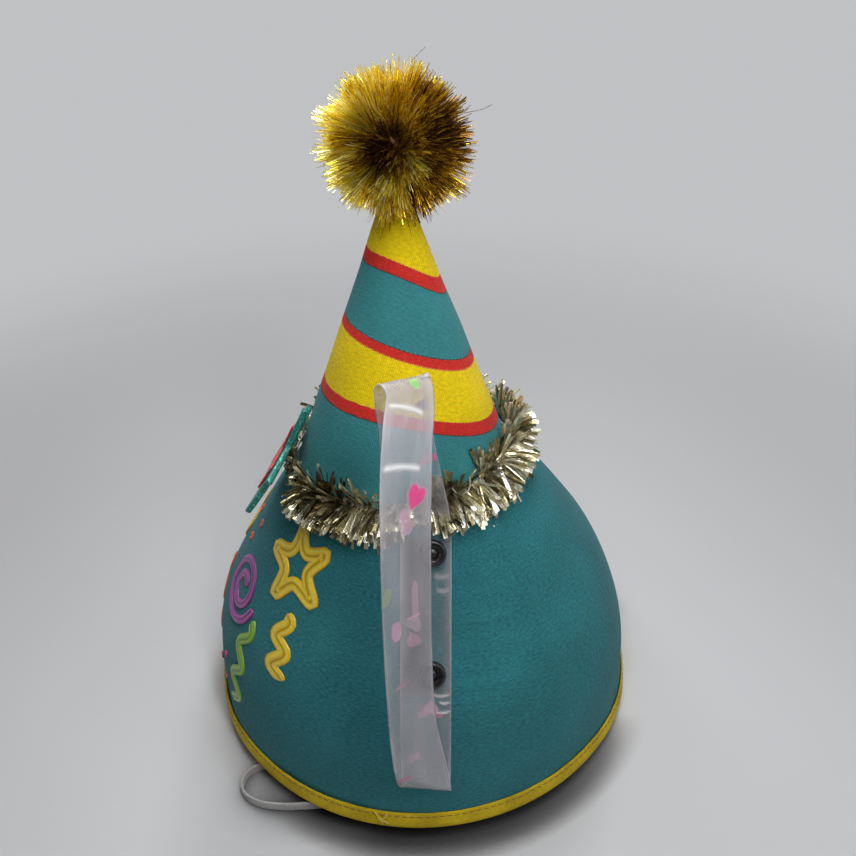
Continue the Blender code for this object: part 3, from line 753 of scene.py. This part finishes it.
def makeGarland():
    dice = random.Random(23)
    bunches = []
    for number in range(garland["bunches"]):
        angle = tau * (number + dice.uniform(-0.3, 0.3)) / garland["bunches"]
        rise = dice.uniform(45, 92) if dice.random() < garland["upright"] else dice.uniform(-58, 6)
        bunches.append((angle, radians(rise), dice.uniform(-0.3, 0.3), dice.uniform(-0.18, 0.18)))

    def addOne(work, toneLayer, number):
        angle, rise, lean, bunchTone = bunches[number // garland["perBunch"]]
        angle += dice.gauss(0, 0.018)
        rise += dice.gauss(0, 0.22)
        lean += dice.gauss(0, 0.12)
        seat, out = garlandSeat(angle)
        side = up.cross(out)
        aim = (out * cos(rise) + up * sin(rise) + side * lean).normalized()
        reach = dice.uniform(*garland["reach"])
        turn = degrees(remainder(angle, tau))
        for first, last, share in garland["pressed"]:
            reach *= share + (1 - share) * smoothStep(max(first - turn, turn - last), -3, 2)
        face = (up * cos(rise) - out * sin(rise) + out * dice.gauss(0, 0.5)).normalized()
        across = aim.cross(face).normalized()
        across = (Matrix.Rotation(dice.gauss(0, 0.55), 3, aim) @ across).normalized()
        bend = -up * reach * dice.uniform(0.0, garland["sag"]) + side * reach * dice.gauss(0, 0.08)
        shaded = smoothStep(turn, -80, -62) * (1 - smoothStep(turn, -34, -16))
        tone = clamp(garland["tone"] + bunchTone - garland["shaded"] * shaded + dice.gauss(0, garland["mixed"]))
        first = len(work.verts)
        addStrip(work, toneLayer, seat, aim, across, reach, dice.uniform(*garland["width"]), bend, tone,
                 parts=5, fold=dice.uniform(-0.0002, 0.0002))
        work.verts.ensure_lookup_table()
        for vert in work.verts[first:]:
            vert.co = keepOutside(vert.co)

    whole = stripBatches(garland["bunches"] * garland["perBunch"], addOne)
    foil = foilMaterial("champagne_foil", garland)
    finishPiece("garland_strips", whole, [foil], "champagne_foil", ["garland_fringe"])


def speckled(name, stops, grain, **sockets):
    # A colour that varies in small spots
    look = newLook(name)
    spots = look.noise(look.place(), grain, 3.0)
    return look, spots, dict(sockets, Base_Color=look.ramp(spots, stops))


def makeWires():
    whole = bmesh.new()
    for strand in (0, pi):
        def place(u, v):
            seat, out = garlandSeat(tau * u)
            for turn in (tau * u * garland["twist"] + strand, tau * v):
                seat += (out * cos(turn) + up * sin(turn)) * garland["wire"]
            return seat

        part = foldGrid(480, 8, place, size=(0.3, 0.003))
        faceOut(part)
        mergeInto(whole, part)
    look, spots, sockets = speckled("steel_wire", [(0.3, (0.16, 0.15, 0.13)), (0.7, (0.42, 0.41, 0.38))], 0.003)
    steel = look.shade(Metallic=1.0, Roughness=0.35, **sockets)
    finishPiece("garland_wires", whole, [steel], "garland_wire", ["garland_core"])


makeGarland()
makeWires()

# Star: two layers of glitter foam, the red one smaller and in front
star = {
    "radius": 0.029, "waist": 0.46, "round": 0.003, "lean": 29.0, "yaw": 11.0, "bow": 0.002, "wavy": 0.0006,
    "middle": (hatX + 0.015, -0.0562, 0.14), "glint": 0.0007,
    "layers": [    # name, share of the radius, height of its foot, thickness, material, colour, slot, solid
        ("star_green_layer", 1.0, 0.0, 0.0025, "green_glitter", (0.006, 0.205, 0.165), "green_felt", "star_backing"),
        ("star_red_layer", 0.62, 0.0028, 0.0008, "red_glitter", (0.56, 0.03, 0.04), "red_felt", "star_face")],
}


def starFrame():
    yaw, lean = radians(star["yaw"]), radians(star["lean"])
    level = Vector((-sin(yaw), -cos(yaw), 0))
    return Vector((cos(yaw), -sin(yaw), 0)), up * cos(lean) - level * sin(lean), level * cos(lean) + up * sin(lean)


def starCorners(outer, inner):
    turns = [pi / 2 + pi * number / 5 for number in range(10)]
    return [(reach * cos(turn), reach * sin(turn)) for turn, reach in zip(turns, [outer, inner] * 5)]


def glitterMaterial(name, colour):
    look = newLook(name)
    flakes = look.add("TexVoronoi", {"Vector": look.place(), "Scale": 1 / star["glint"]}).outputs["Color"]
    spark = look.add("SeparateColor", {0: flakes}).outputs[0]
    # the brightest flakes are painted glints
    stops = [(0.0, times(colour, 0.3)), (0.45, colour), (0.82, colour), (0.97, times(colour, 1.9, 0.12))]
    metal = look.ramp(spark, [(0.5, (0, 0, 0)), (0.8, (0.7,) * 3)])
    return look.shade(Base_Color=look.ramp(spark, stops), Metallic=metal, Normal=look.bump(spark, 0.0004, 0.7),
                      Roughness=0.35, Specular_IOR_Level=0.6)


def roundOff(work, geometry, kind, offset, segments):
    bmesh.ops.bevel(work, geom=geometry, affect=kind, offset=offset, segments=segments, profile=0.5, material=-1)


def makeStarLayer(name, share, low, thickness, materialName, colour, slotName, node):
    work = bmesh.new()
    radius = star["radius"] * share
    corners = [work.verts.new((x, y, 0)) for x, y in starCorners(radius, radius * star["waist"])]
    work.faces.new(corners)
    roundOff(work, corners, "VERTICES", star["round"], 6)
    lifted = vertsOf(bmesh.ops.extrude_face_region(work, geom=work.faces[:]))
    bmesh.ops.translate(work, verts=lifted, vec=(0, 0, thickness))
    rims = [edge for edge in work.edges if abs(edge.verts[0].co.z - edge.verts[1].co.z) < 1e-6]
    roundOff(work, rims, "EDGES", thickness * 0.28, 3)
    for band in range(-9, 10):
        bmesh.ops.bisect_plane(work, geom=work.verts[:] + work.edges[:] + work.faces[:], dist=1e-6,
                               plane_co=(0, band * radius / 10, 0), plane_no=(0, 1, 0))
    across, rise, out = starFrame()
    for vert in work.verts:
        bent = low + vert.co.z + star["bow"] * (vert.co.y / star["radius"]) ** 2
        bent += star["wavy"] * noise.noise(Vector((vert.co.x * 60, vert.co.y * 60, 1.0)))
        vert.co = Vector(star["middle"]) + across * vert.co.x + rise * vert.co.y + out * bent
    faceOut(work)
    finishPiece(name, work, [glitterMaterial(materialName, colour)], slotName, [node], sharp=50)


for layer in star["layers"]:
    makeStarLayer(*layer)
print("tinsel and star done")

# Clear film loop: one printed ribbon, both ends pressed onto the dome by two snaps
film = {
    "width": 0.02, "thickness": 0.0004, "pitch": 0.0006, "columns": 36, "layer": 0.0005,
    "middleY": 0.001, "pastSnap": 0.00504, "foot": 0.052, "curl": 0.0006,
    "snapY": 0.0034, "snapHeights": (0.1204, 0.0814),
    # both folds are higher on the front's side
    "foldLow": 0.0366, "foldHigh": 0.2116, "foldUp": 0.003, "foldSlant": 0.24, "topSlant": 0.27, "topTurn": 1.0,
    "foldReach": 0.018, "flatLength": 0.441,
    "milk": (0.62, 0.6, 0.645), "clear": 0.8,
    "edges": [(0.0009, 0.26), (0.0042, 0.09)],    # milkier within this much of an edge, and by how much
    # how milky each wall is, at places along the ribbon: pressed on the dome, free, pressed again; where it stands
    # free this is partly painted reflection of the bright surroundings
    "alpha": [(0.0, 0.04), (0.05, 0.05), (0.078, 0.18), (0.105, 0.32), (0.13, 0.36), (0.2, 0.24), (0.245, 0.28),
              (0.285, 0.4), (0.294, 0.3), (0.31, 0.14), (0.365, 0.12), (0.385, 0.05), (0.445, 0.05)],
    "pink": (0.9, 0.06, 0.3), "palePink": (0.86, 0.42, 0.6), "lilac": (0.56, 0.25, 0.62),
    "green": (0.28, 0.82, 0.13), "olive": (0.36, 0.52, 0.14), "plum": (0.23, 0.05, 0.1),
    "white": (0.95, 0.95, 0.96),
}
filmRoute = [    # middle of the ribbon off the dome, and the turn of its width from the hat's length
    (0.0938, 0.001, 0.043, 0), (0.0958, 0.001, 0.0385, 0), (0.0984, 0.001, 0.0366, 0), (0.101, 0.001, 0.0385, 2),
    (0.1026, 0.0008, 0.043, 5), (0.105, -0.0005, 0.058, 20), (0.1068, -0.0026, 0.08, 35),
    (0.1065, -0.0038, 0.105, 40), (0.104, -0.0044, 0.13, 40), (0.099, -0.0047, 0.155, 40),
    (0.0915, -0.0047, 0.18, 41), (0.081, -0.0042, 0.197, 42), (0.0728, -0.0032, 0.206, 42),
    (0.07, -0.0036, 0.2098, 42), (0.068, -0.005, 0.2116, 42), (0.066, -0.0066, 0.2098, 42),
    (0.0648, -0.007, 0.2056, 42), (0.0615, -0.0064, 0.195, 40), (0.0582, -0.0056, 0.182, 33),
    (0.0552, -0.0042, 0.168, 22), (0.0522, -0.0024, 0.155, 10), (0.0498, -0.0006, 0.144, 3),
    (0.0484, 0.0006, 0.135, 0)]


def filmStations():
    stations = []

    def onDome(height, layer):
        angle, share = domeAt(film["middleY"], height)
        out = domeOut(angle, share)
        across = (domePoint(angle, share + 0.01) - domePoint(angle, share - 0.01)).cross(out).normalized()
        offset = (layer + 1) * body["gap"] + (layer + 0.5) * film["layer"]
        stations.append((domePoint(angle, share) + out * offset, -across if across.y < 0 else across))

    upper, lower = film["snapHeights"]
    end, past = upper + film["pastSnap"], film["pastSnap"]
    for part in range(9):
        onDome(end + (film["foot"] - end) * part / 8, 0)
    for x, y, z, turn in filmRoute:
        low, high = [hill(z, film[fold], film["foldReach"]) for fold in ("foldLow", "foldHigh")]
        yaw = radians(turn + film["topTurn"] * high)
        slant = film["foldSlant"] * low + film["topSlant"] * high
        spot = Vector((x + hatX, y, z + film["foldUp"] * low))
        stations.append((spot, Vector((-sin(yaw), cos(yaw), -slant))))
    onDome(end + 0.004, 4)
    onDome(end + 0.001, 2)
    for part in range(8):
        onDome(end - 0.0025 + (lower - upper - 2 * past) * part / 7, 1)
    return stations


def heartHit(x, y):
    # Positive inside a heart whose point looks down along the ribbon
    return 1 - (x * x + (1.15 * (y + 0.15) - 0.75 * sqrt(abs(x))) ** 2)


def patchHit(x, y):
    # Positive inside a rounded patch
    return 1 - (x ** 4 + y ** 4)


prints = [    # along the ribbon, across it, half width, half length, turn in degrees, shape, colour, strength
    (0.251, 0.003, 0.0038, 0.0046, -28, heartHit, "pink", 0.95),
    (0.244, -0.0006, 0.0022, 0.0046, 8, patchHit, "palePink", 0.55),
    (0.2865, 0.0026, 0.0021, 0.0019, 20, heartHit, "green", 0.75),
    (0.2912, -0.0022, 0.0034, 0.001, 0, patchHit, "lilac", 0.45),
    (0.31, 0.0078, 0.0028, 0.0026, 12, patchHit, "plum", 0.85),
    (0.335, 0.0066, 0.004, 0.0028, -8, heartHit, "pink", 0.62),
    (0.22, -0.0082, 0.0016, 0.0034, -15, patchHit, "olive", 0.5),
    (0.2145, 0.0028, 0.0013, 0.008, 0, patchHit, "palePink", 0.36),
    (0.2085, 0.002, 0.003, 0.0007, 0, patchHit, "palePink", 0.6),
    (0.2058, -0.005, 0.0018, 0.004, 0, patchHit, "palePink", 0.6),
    (0.1815, -0.0038, 0.0034, 0.0005, 6, patchHit, "pink", 0.42),
    (0.067, 0.0018, 0.0034, 0.0034, 0, heartHit, "palePink", 0.75),
    (0.0705, 0.0052, 0.0011, 0.0013, 0, patchHit, "pink", 0.55),
    (0.139, -0.002, 0.003, 0.0028, 0, patchHit, "palePink", 0.35),
    (0.125, -0.0072, 0.0034, 0.0014, 10, patchHit, "pink", 0.6),
    (0.162, 0.005, 0.003, 0.0032, 150, heartHit, "palePink", 0.35),
    (0.033, -0.004, 0.0032, 0.0034, 30, heartHit, "palePink", 0.45),
    (0.418, -0.005, 0.003, 0.0032, -20, heartHit, "pink", 0.45),
]
paintedHighlights = [    # painted highlights: white streaks across the ribbon for the lamps' reflections; along it, first and last place across, half width, strength
    (0.2788, -0.009, 0.0048, 0.0008, 0.95), (0.2608, -0.0092, 0.005, 0.0009, 1.0),
    (0.062, 0.002, 0.0095, 0.0005, 1.0), (0.065, 0.005, 0.0096, 0.0005, 0.95),
    (0.069, 0.003, 0.0096, 0.0005, 0.9), (0.0205, 0.004, 0.0094, 0.0009, 0.45),
    (0.015, 0.003, 0.0092, 0.0012, 0.35), (0.294, -0.0095, 0.0095, 0.0005, 0.3),
    (0.106, -0.009, 0.009, 0.0006, 0.35),
]


def rotated(x, y, turn):
    c, s = cos(radians(turn)), sin(radians(turn))
    return x * c - y * s, x * s + y * c


def filmPrintAndHighlight(along, across):
    colour, share = (0.0, 0.0, 0.0), 0.0
    for placeAlong, placeAcross, wide, tall, turn, shape, overlay, strength in prints:
        dx, dy = across - placeAcross, along - placeAlong
        if abs(dx) + abs(dy) < 3 * (wide + tall):
            dx, dy = rotated(dx, dy, -turn)
            hit = shape(dx / wide, dy / tall)
            if hit > 0:
                colour, share = film[overlay], strength * clamp(hit * 4)
    # painted highlights: white streaks that stand in for the lamps' reflections
    for placeAlong, first, last, half, strength in paintedHighlights:
        bow = 0.0007 * sin((across - first) / (last - first) * pi)
        near = strength * hill(along, placeAlong + bow, half)
        near *= smoothStep(across, first - 0.0006, first + 0.0012)
        near *= 1 - smoothStep(across, last - 0.0012, last + 0.0006)
        if near > share:
            colour, share = film["white"], near
    return colour, share


def filmMilkAndReflection(along, across):
    # Each wall of the ribbon lets this share of the light through less: partly the film's milkiness, partly painted
    # reflection where the ribbon stands free
    value = film["alpha"][-1][1]
    for (first, low), (last, high) in zip(film["alpha"], film["alpha"][1:]):
        if first <= along < last:
            value = low + (high - low) * smoothStep(along, first, last)
            break
    side = film["width"] / 2 - abs(across)
    return value + sum(more * (1 - smoothStep(side, 0.0, reach)) for reach, more in film["edges"])


def filmMaterial():
    look = newLook("milky_film")
    # this attribute holds the print colours and the painted highlights
    overlay = look.add("Attribute", attribute_name="overlay").outputs
    haze = look.noise(look.uv(), 0.007, stretch=(1.0, 0.18, 1.0))
    milk = look.ramp(haze, [(0.3, times(film["milk"], 0.84)), (0.7, film["milk"])])
    # the per-vertex opacity is the film's milkiness with painted reflection
    alpha = look.math("MULTIPLY", look.tone("milkAndReflection"), look.total([(haze, 0.9)], 0.55))
    left = look.math("SUBTRACT", film["clear"], alpha)
    return look.shade(Base_Color=look.mix(overlay["Alpha"], milk, overlay["Color"]),
                      Alpha=look.total([(overlay["Alpha"], left)], alpha), Normal=look.bump(haze, 0.0008, 0.6),
                      Roughness=0.16, IOR=1.46, Coat_Weight=0.3, Coat_Roughness=0.08)


def makeFilm():
    stations = filmStations()
    middles = smoothRoute([Vector((*spot, index)) for index, (spot, across) in enumerate(stations)], film["pitch"])
    length = film["pitch"] * (len(middles) - 1)
    frames = []
    for number, middle in enumerate(middles):
        before, after = around(middles, number)
        along = (after.to_3d() - before.to_3d()).normalized()
        stationAt = clamp(middle.w, 0.0, len(stations) - 1.0)
        index = min(int(stationAt), len(stations) - 2)
        across = stations[index][1].lerp(stations[index + 1][1], stationAt - index)
        across = (across - along * across.dot(along)).normalized()
        free = clamp((index - 8) / 3) * clamp((31 - index) / 3)    # 0 where the ribbon lies on the dome
        frames.append((middle.to_3d(), across, along.cross(across) * film["curl"] * free))

    def place(u, v):
        spot, across, curl = frames[min(round(v * (len(frames) - 1)), len(frames) - 1)]
        side = 2 * u - 1
        return spot + across * side * film["width"] / 2 + curl * (side * side - 0.4)

    work = foldGrid(film["columns"], len(frames) - 1, place, size=(film["width"], length), closed=False)
    # print colours and painted highlights for each corner
    overlays = work.loops.layers.float_color.new("overlay")
    milkAndReflectionLayer = work.verts.layers.float.new("milkAndReflection")
    uvs = work.loops.layers.uv["UVMap"]
    for face in work.faces:
        for corner in face.loops:
            uv = corner[uvs].uv
            along = uv.y + (film["flatLength"] - length) * smoothStep(uv.y, 0.08, 0.11)
            across = uv.x - film["width"] / 2
            colour, share = filmPrintAndHighlight(along, across)
            corner[overlays] = (*colour, share)
            corner.vert[milkAndReflectionLayer] = filmMilkAndReflection(along, across)
    loop = finishPiece("film_loop", work, [filmMaterial()], "clear_film", ["clear_strap"])
    thicken(loop, film["thickness"], offset=0)
    print("film length", round(length, 4))


makeFilm()

# Snaps: a black socket outside and a capped post inside, in each of the two places
snap = {
    "radius": 0.0053, "height": 0.0028, "seat": 0.0022, "hole": 0.0021,
    "post": 0.0018, "cap": 0.0059, "capThickness": 0.0012, "capSeat": 0.0008, "segments": 48,
    # inwards from the socket's outer face, and down from its top
    "socket": [(0, 0.0009), (0.0003, 0.0003), (0.0009, 0), (0.0015, 0.0001), (0.0019, 0.0009), (0.0023, 0.001),
               (0.0026, 0.0006), (0.0029, 0.0006)],
}


def blackPlastic():
    stops = [(0.35, (0.006, 0.006, 0.007)), (0.75, (0.022, 0.022, 0.024))]
    look, scuff, sockets = speckled("black_plastic", stops, 0.0015, Specular_IOR_Level=0.5)
    return look.shade(Roughness=look.ramp(scuff, [(0.3, (0.2,) * 3), (0.8, (0.42,) * 3)]),
                      Normal=look.bump(scuff, 0.00008, 0.5), **sockets)


def spinPiece(name, profile, foot, out, material, replaced):
    work = bmesh.new()
    verts = [work.verts.new((radius, 0, height)) for radius, height in profile]
    edges = [work.edges.new(pair) for pair in zip(verts, verts[1:])]
    if profile[0][0] > 0.0001:
        edges.append(work.edges.new((verts[-1], verts[0])))
    bmesh.ops.spin(work, geom=verts + edges, cent=(0, 0, 0), axis=(0, 0, 1), angle=tau,
                   steps=snap["segments"], use_merge=True)
    bmesh.ops.remove_doubles(work, verts=work.verts, dist=1e-6)
    faceOut(work)
    turned = out.to_track_quat("Z", "Y").to_matrix().to_4x4()
    turned.translation = foot
    bmesh.ops.transform(work, matrix=turned, verts=work.verts)
    finishPiece(name, work, [material], "black_plastic", [replaced], sharp=38)


def makeSnaps():
    material = blackPlastic()
    r, low, high, hole = snap["radius"], snap["seat"], snap["seat"] + snap["height"], snap["hole"]
    socket = [(hole, low), (r - 0.0004, low), (r, low + 0.0004)]
    socket += [(r - inwards, high - down) for inwards, down in snap["socket"]] + [(hole, high - 0.001)]
    seat, thick, cap, stem = -body["domeWall"] - snap["capSeat"], snap["capThickness"], snap["cap"], snap["post"]
    post = [(0.0, seat - thick), (0.6 * cap, seat - thick), (cap - 0.0003, seat - 0.6 * thick), (cap, seat - 0.0003),
            (cap - 0.0002, seat), (stem, seat), (stem, high - 0.0016), (0.6 * stem, high - 0.0012),
            (0.0, high - 0.0012)]
    for name, height in zip(("upper", "lower"), film["snapHeights"]):
        place = domeAt(film["snapY"], height)
        for kind, profile in (("socket_", socket), ("post_", post)):
            spinPiece(kind + name, profile, domePoint(*place), domeOut(*place), material, "snap_" + kind + name)


makeSnaps()
print("film and snaps done")

# Raised party motifs round the front: stars, streamers, curls and confetti
motifs = {
    "width": 0.0046, "height": 0.001, "sunk": 0.0003, "groove": 0.35, "step": 0.001,
    "purple": (0.33, 0.035, 0.3), "yellow": (0.9, 0.58, 0.006), "green": (0.21, 0.45, 0.006),
    "orange": (0.6, 0.08, 0.02), "pink": (0.64, 0.06, 0.2),
}


def shares(count):
    return [number / count for number in range(count + 1)]


# each kind is a list of lines, for a motif of size 1
waveLines = [[(0.15 * sin(tau * 2.75 * t), 0.95 - 1.9 * t) for t in shares(30)]]
starRing = starCorners(0.62, 0.27) + starCorners(0.62, 0.27)[:1]
starLines = [starRing]
cometLines = [[(0.95 * x, 0.95 * y + 0.3) for x, y in starRing],
              [(0.09 * sin(tau * 2.25 * t) - 0.08 - 0.15 * t, -0.4 - t) for t in shares(24)]]
curlLines = [[((0.1 + 0.062 * t) * cos(1.75 * t), (0.1 + 0.062 * t) * sin(1.75 * t))
              for t in [number * 0.28 for number in range(26)]]]
dotLines = [[(x, y), (x + 0.1, y + 0.12)] for x, y in [(-0.3, 0.1), (0.12, -0.28), (0.32, 0.24)]]
placed = [    # azimuth from the front towards the film, share up the dome, kind, size, turn, colour, bolder by
    (47, 0.735, cometLines, 0.029, 14, "yellow", 1.35), (20, 0.6, curlLines, 0.031, 10, "purple", 0.9),
    (33, 0.37, waveLines, 0.025, -4, "green", 1.1), (1, 0.72, dotLines, 0.024, 0, "orange", 1.0),
    (0, 0.36, waveLines, 0.023, 20, "orange", 1.0), (-21, 0.6, starLines, 0.025, -10, "yellow", 1.2),
    (21, 0.25, dotLines, 0.022, 30, "pink", 1.0), (-44, 0.74, cometLines, 0.024, 24, "pink", 1.2),
    (-20, 0.27, curlLines, 0.023, -20, "green", 0.9), (-42, 0.38, waveLines, 0.023, -8, "purple", 1.1),
    (-60, 0.58, dotLines, 0.022, 70, "yellow", 1.0)]


def printMaterial(name, colour):
    look = newLook(name)
    side = look.add("SeparateXYZ", {0: look.uv()}).outputs[0]
    # across each stroke: painted shade at its edges and in its middle groove, painted highlights on its two crests;
    # the mottle is random
    dark, pale = times(colour, 0.35), times(colour, 1.25, 0.1)
    stops = [(0.0, dark), (0.08, colour), (0.22, colour), (0.31, pale), (0.4, colour), (0.46, dark), (0.52, colour),
             (0.66, pale), (0.8, colour), (1.0, dark)]
    mottle = look.noise(look.place(), 0.0016)
    tint = look.mix(look.math("MULTIPLY", mottle, 0.5), look.ramp(side, stops), (*dark, 1))
    return look.shade(Base_Color=tint, Normal=look.bump(mottle, 0.0002, 0.5),
                      Roughness=0.42, Coat_Weight=0.15, Coat_Roughness=0.3)


def makeStroke(points, azimuth, share, turn, bolder, small=0.02):
    # One raised line on the dome; points are in metres, right and up from the motif's middle
    middle = radians(azimuth - 90)
    perAngle = (domePoint(middle + small, share) - domePoint(middle - small, share)).length / (2 * small)
    perShare = (domePoint(middle, share + small) - domePoint(middle, share - small)).length / (2 * small)
    flat = [Vector((*rotated(x, y, turn), 0)) for x, y in points]
    route = smoothRoute(flat, motifs["step"])
    half = motifs["width"] / 2 * bolder
    last = len(route) - 1
    closed = (flat[0] - flat[-1]).length < 1e-5

    def place(u, v):
        index = min(round(v * last), last)
        before, after = around(route, index)
        nearest = 1.0    # the line narrows to a round end
        if closed:
            before, after = route[(index - 1) % last], route[(index + 1) % last]
        else:
            nearest = sqrt(1 - (1 - min(min(index, last - index) * motifs["step"] / half, 1.0)) ** 2)
        along = (after - before).normalized()
        across = -cos(tau * u)
        high = -motifs["sunk"]
        if u <= 0.5:
            high = motifs["height"] * sin(tau * u) ** 0.6 * (1 - motifs["groove"] * hill(across, 0, 0.22))
        spot = route[index] + Vector((along.y, -along.x, 0)) * across * half * nearest
        angle, level = middle + spot.x / perAngle, clamp(share + spot.y / perShare, 0.02, 0.99)
        return domePoint(angle, level) + domeOut(angle, level) * (high * nearest if high > 0 else high)

    return foldGrid(20, last, place, size=(2.0, 1.0))


def makeMotifs():
    overlays = {}
    for number, (azimuth, share, lines, size, turn, colour, bolder) in enumerate(placed):
        whole = bmesh.new()
        for line in lines:
            part = makeStroke([(x * size, y * size) for x, y in line], azimuth, share, turn, bolder)
            faceOut(part)
            mergeInto(whole, part)
        if colour not in overlays:
            overlays[colour] = printMaterial(colour + "_print", motifs[colour])
        finishPiece("motif_" + str(number + 1), whole, [overlays[colour]], "teal_fabric")


makeMotifs()

# Loose threads: strays on the ball, a pulled thread in the garland and a frayed knot on the tape
knot = [    # degrees round the rim, out from the dome's face, height above the tape's foot
    [(-11.6, 0.0014, 0.0088), (-10.6, 0.0024, 0.007), (-9.9, 0.0025, 0.0046), (-9.6, 0.0022, 0.003)],
    [(-10.9, 0.002, 0.0048), (-10.1, 0.0027, 0.0062), (-9.3, 0.0024, 0.0072), (-8.7, 0.0014, 0.0086)],
    [(-10.4, 0.0022, 0.0074), (-9.6, 0.0029, 0.006), (-8.9, 0.0024, 0.005), (-8.5, 0.0021, 0.0036)]]
threads = [    # piece, its lines, radius, material, colour, roughness, slot
    ("ball_strays", [routeFrom([(-0.012, -0.007, 0.2805), (-0.0165, -0.004, 0.285), (-0.0193, 0.001, 0.2893)]),
                     routeFrom([(-0.006, 0.014, 0.2712), (-0.0068, 0.02, 0.2722), (-0.0076, 0.0235, 0.2736)])],
     0.00014, "grey_thread", (0.2, 0.17, 0.13), 0.4, "gold_foil"),
    ("garland_thread", [routeFrom([(0.0395, 0.0105, 0.145), (0.0415, 0.014, 0.1425), (0.0412, 0.0175, 0.145),
                                   (0.0392, 0.0178, 0.1492)])],
     0.00022, "pale_thread", (0.62, 0.64, 0.62), 0.6, "champagne_foil"),
    ("tape_knot", [[tapePoint(radians(turn), out, height) for turn, out, height in line] for line in knot],
     0.00036, "yellow_thread", (0.95, 0.74, 0.06), 0.6, "yellow_tape")]


def makeThreads(name, lines, radius, materialName, colour, roughness, slotName):
    curve = bpy.data.curves.new(name, "CURVE")
    curve.dimensions = "3D"
    curve.bevel_depth = radius
    curve.bevel_resolution = 1
    curve.use_fill_caps = True
    for line in lines:
        points = smoothRoute(line, 0.0012)
        spline = curve.splines.new("POLY")
        spline.points.add(len(points) - 1)
        for bead, point in zip(spline.points, points):
            bead.co = (*point, 1)
    source = bpy.data.objects.new(name, curve)
    work = bmesh.new()
    work.from_mesh(source.to_mesh())
    source.to_mesh_clear()
    bpy.data.objects.remove(source)
    finishPiece(name, work, [threadMaterial(materialName, colour, roughness)], slotName)


for thread in threads:
    makeThreads(*thread)
print("motifs and threads done")

# Floor, world and lamps: a light tent that is dark on the camera's side
studio = {
    "floor": (0.65, 0.654, 0.672), "seen": (0.53, 0.535, 0.55),
    "evenFrom": 0.2, "evenTo": 0.6,       # metres from the hat, where the floor turns into the plain background
    "contact": 0.016, "paintedShade": 9.0,      # reach and strength of the painted shade on the floor under the raised sides of the rim
    "sky": (0.8, 0.803, 0.81), "behind": 0.1, "before": 0.04, "shine": 6.0,
    "lamps": [    # name, place, watts, size along the hat and across it
        ("near_lamp", (0.2, 0.08, 0.5), 1.01, 0.4, 0.06),
        ("nearLeft_lamp", (0.17, -0.04, 0.44), 0.28, 0.25, 0.06),
        ("right_lamp", (0.3, 0.5, 0.45), 0.51, 0.3, 0.3),
        ("farLeft_lamp", (-0.1, -0.1, 0.45), 0.36, 0.25, 0.06),
        ("far_lamp", (-0.45, 0.1, 0.8), 2.66, 0.6, 0.16),
    ],
}


def makeFloor():
    work = bmesh.new()
    bmesh.ops.create_grid(work, x_segments=12, y_segments=12, size=4.0)
    mesh = bpy.data.meshes.new("floor")
    work.to_mesh(mesh)
    work.free()
    look = newLook("pale_floor")
    place = look.place()
    tone = look.ramp(look.noise(place, 0.5), [(0.3, times(studio["floor"], 0.97)), (0.7, studio["floor"])])
    # painted shade: ambient occlusion darkens the floor's colour close to the hat, most under the raised sides of the
    # rim and less towards its front
    near = look.add("AmbientOcclusion", {"Distance": studio["contact"]}, samples=16).outputs["AO"]
    flat = look.add("SeparateXYZ", {0: place}).outputs
    raised = look.span(look.math("ABSOLUTE", flat[0]), 0.03, 0.09, 0.0, studio["paintedShade"])
    raised = look.math("MULTIPLY", raised, look.span(flat[1], -0.075, -0.015, 0.22, 1.0))
    look.shade(Base_Color=look.shaded(tone, look.math("POWER", near, raised)), Roughness=0.9, Specular_IOR_Level=0.2)
    # far from the hat the floor shows one plain tone, near it the lamps light it, the hat shades it, and the painted
    # shade darkens it
    plain = look.add("Emission", {"Color": (*studio["seen"], 1), "Strength": 1.0}).outputs[0]
    away = look.add("VectorMath", {0: place}, operation="LENGTH").outputs["Value"]
    far = look.span(away, studio["evenFrom"], studio["evenTo"], 0.0, 1.0, interpolation_type="SMOOTHSTEP")
    path = look.add("LightPath").outputs
    seen = look.math("MAXIMUM", path["Is Camera Ray"], path["Is Glossy Ray"])
    share = look.math("MULTIPLY", far, look.math("MAXIMUM", seen, path["Is Transmission Ray"]))
    lit = look.tree.nodes["Principled BSDF"].outputs[0]
    both = look.add("MixShader", {0: share, 1: lit, 2: plain}).outputs[0]
    look.fill(look.tree.nodes["Material Output"], {"Surface": both})
    mesh.materials.append(look.owner)
    addObject("floor", mesh)


def makeWorld():
    bpy.context.scene.world = bpy.data.worlds.new("tent")
    look = Look(bpy.context.scene.world)
    aim = look.add("TexCoord").outputs["Generated"]
    ahead = look.add("SeparateXYZ", {0: aim}).outputs["X"]
    path = look.add("LightPath").outputs
    strength = look.math("MULTIPLY", look.span(ahead, 0.0, 0.8, studio["behind"], studio["before"]),
                         look.span(path["Is Glossy Ray"], 0.0, 1.0, 1.0, studio["shine"]))
    sky = look.tree.nodes["Background"]
    look.fill(sky, {"Color": (*studio["sky"], 1), "Strength": strength})
    # the camera sees the same plain tone above the floor as far away on it
    plain = look.add("Background", {"Color": (*studio["seen"], 1)}).outputs[0]
    view = look.add("MixShader", {0: path["Is Camera Ray"], 1: sky.outputs[0], 2: plain}).outputs[0]
    look.fill(look.tree.nodes["World Output"], {"Surface": view})


def makeLamp(name, place, power, long, wide):
    data = bpy.data.lights.new(name, "AREA")
    data.energy = power
    data.shape = "RECTANGLE"
    data.size = wide
    data.size_y = long
    lamp = addObject(name, data)
    lamp.location = place
    lamp.rotation_euler = (Vector((hatX, 0, 0.1)) - Vector(place)).to_track_quat("-Z", "Y").to_euler()


makeFloor()
makeWorld()
for settings in studio["lamps"]:
    makeLamp(*settings)

print("scene done")
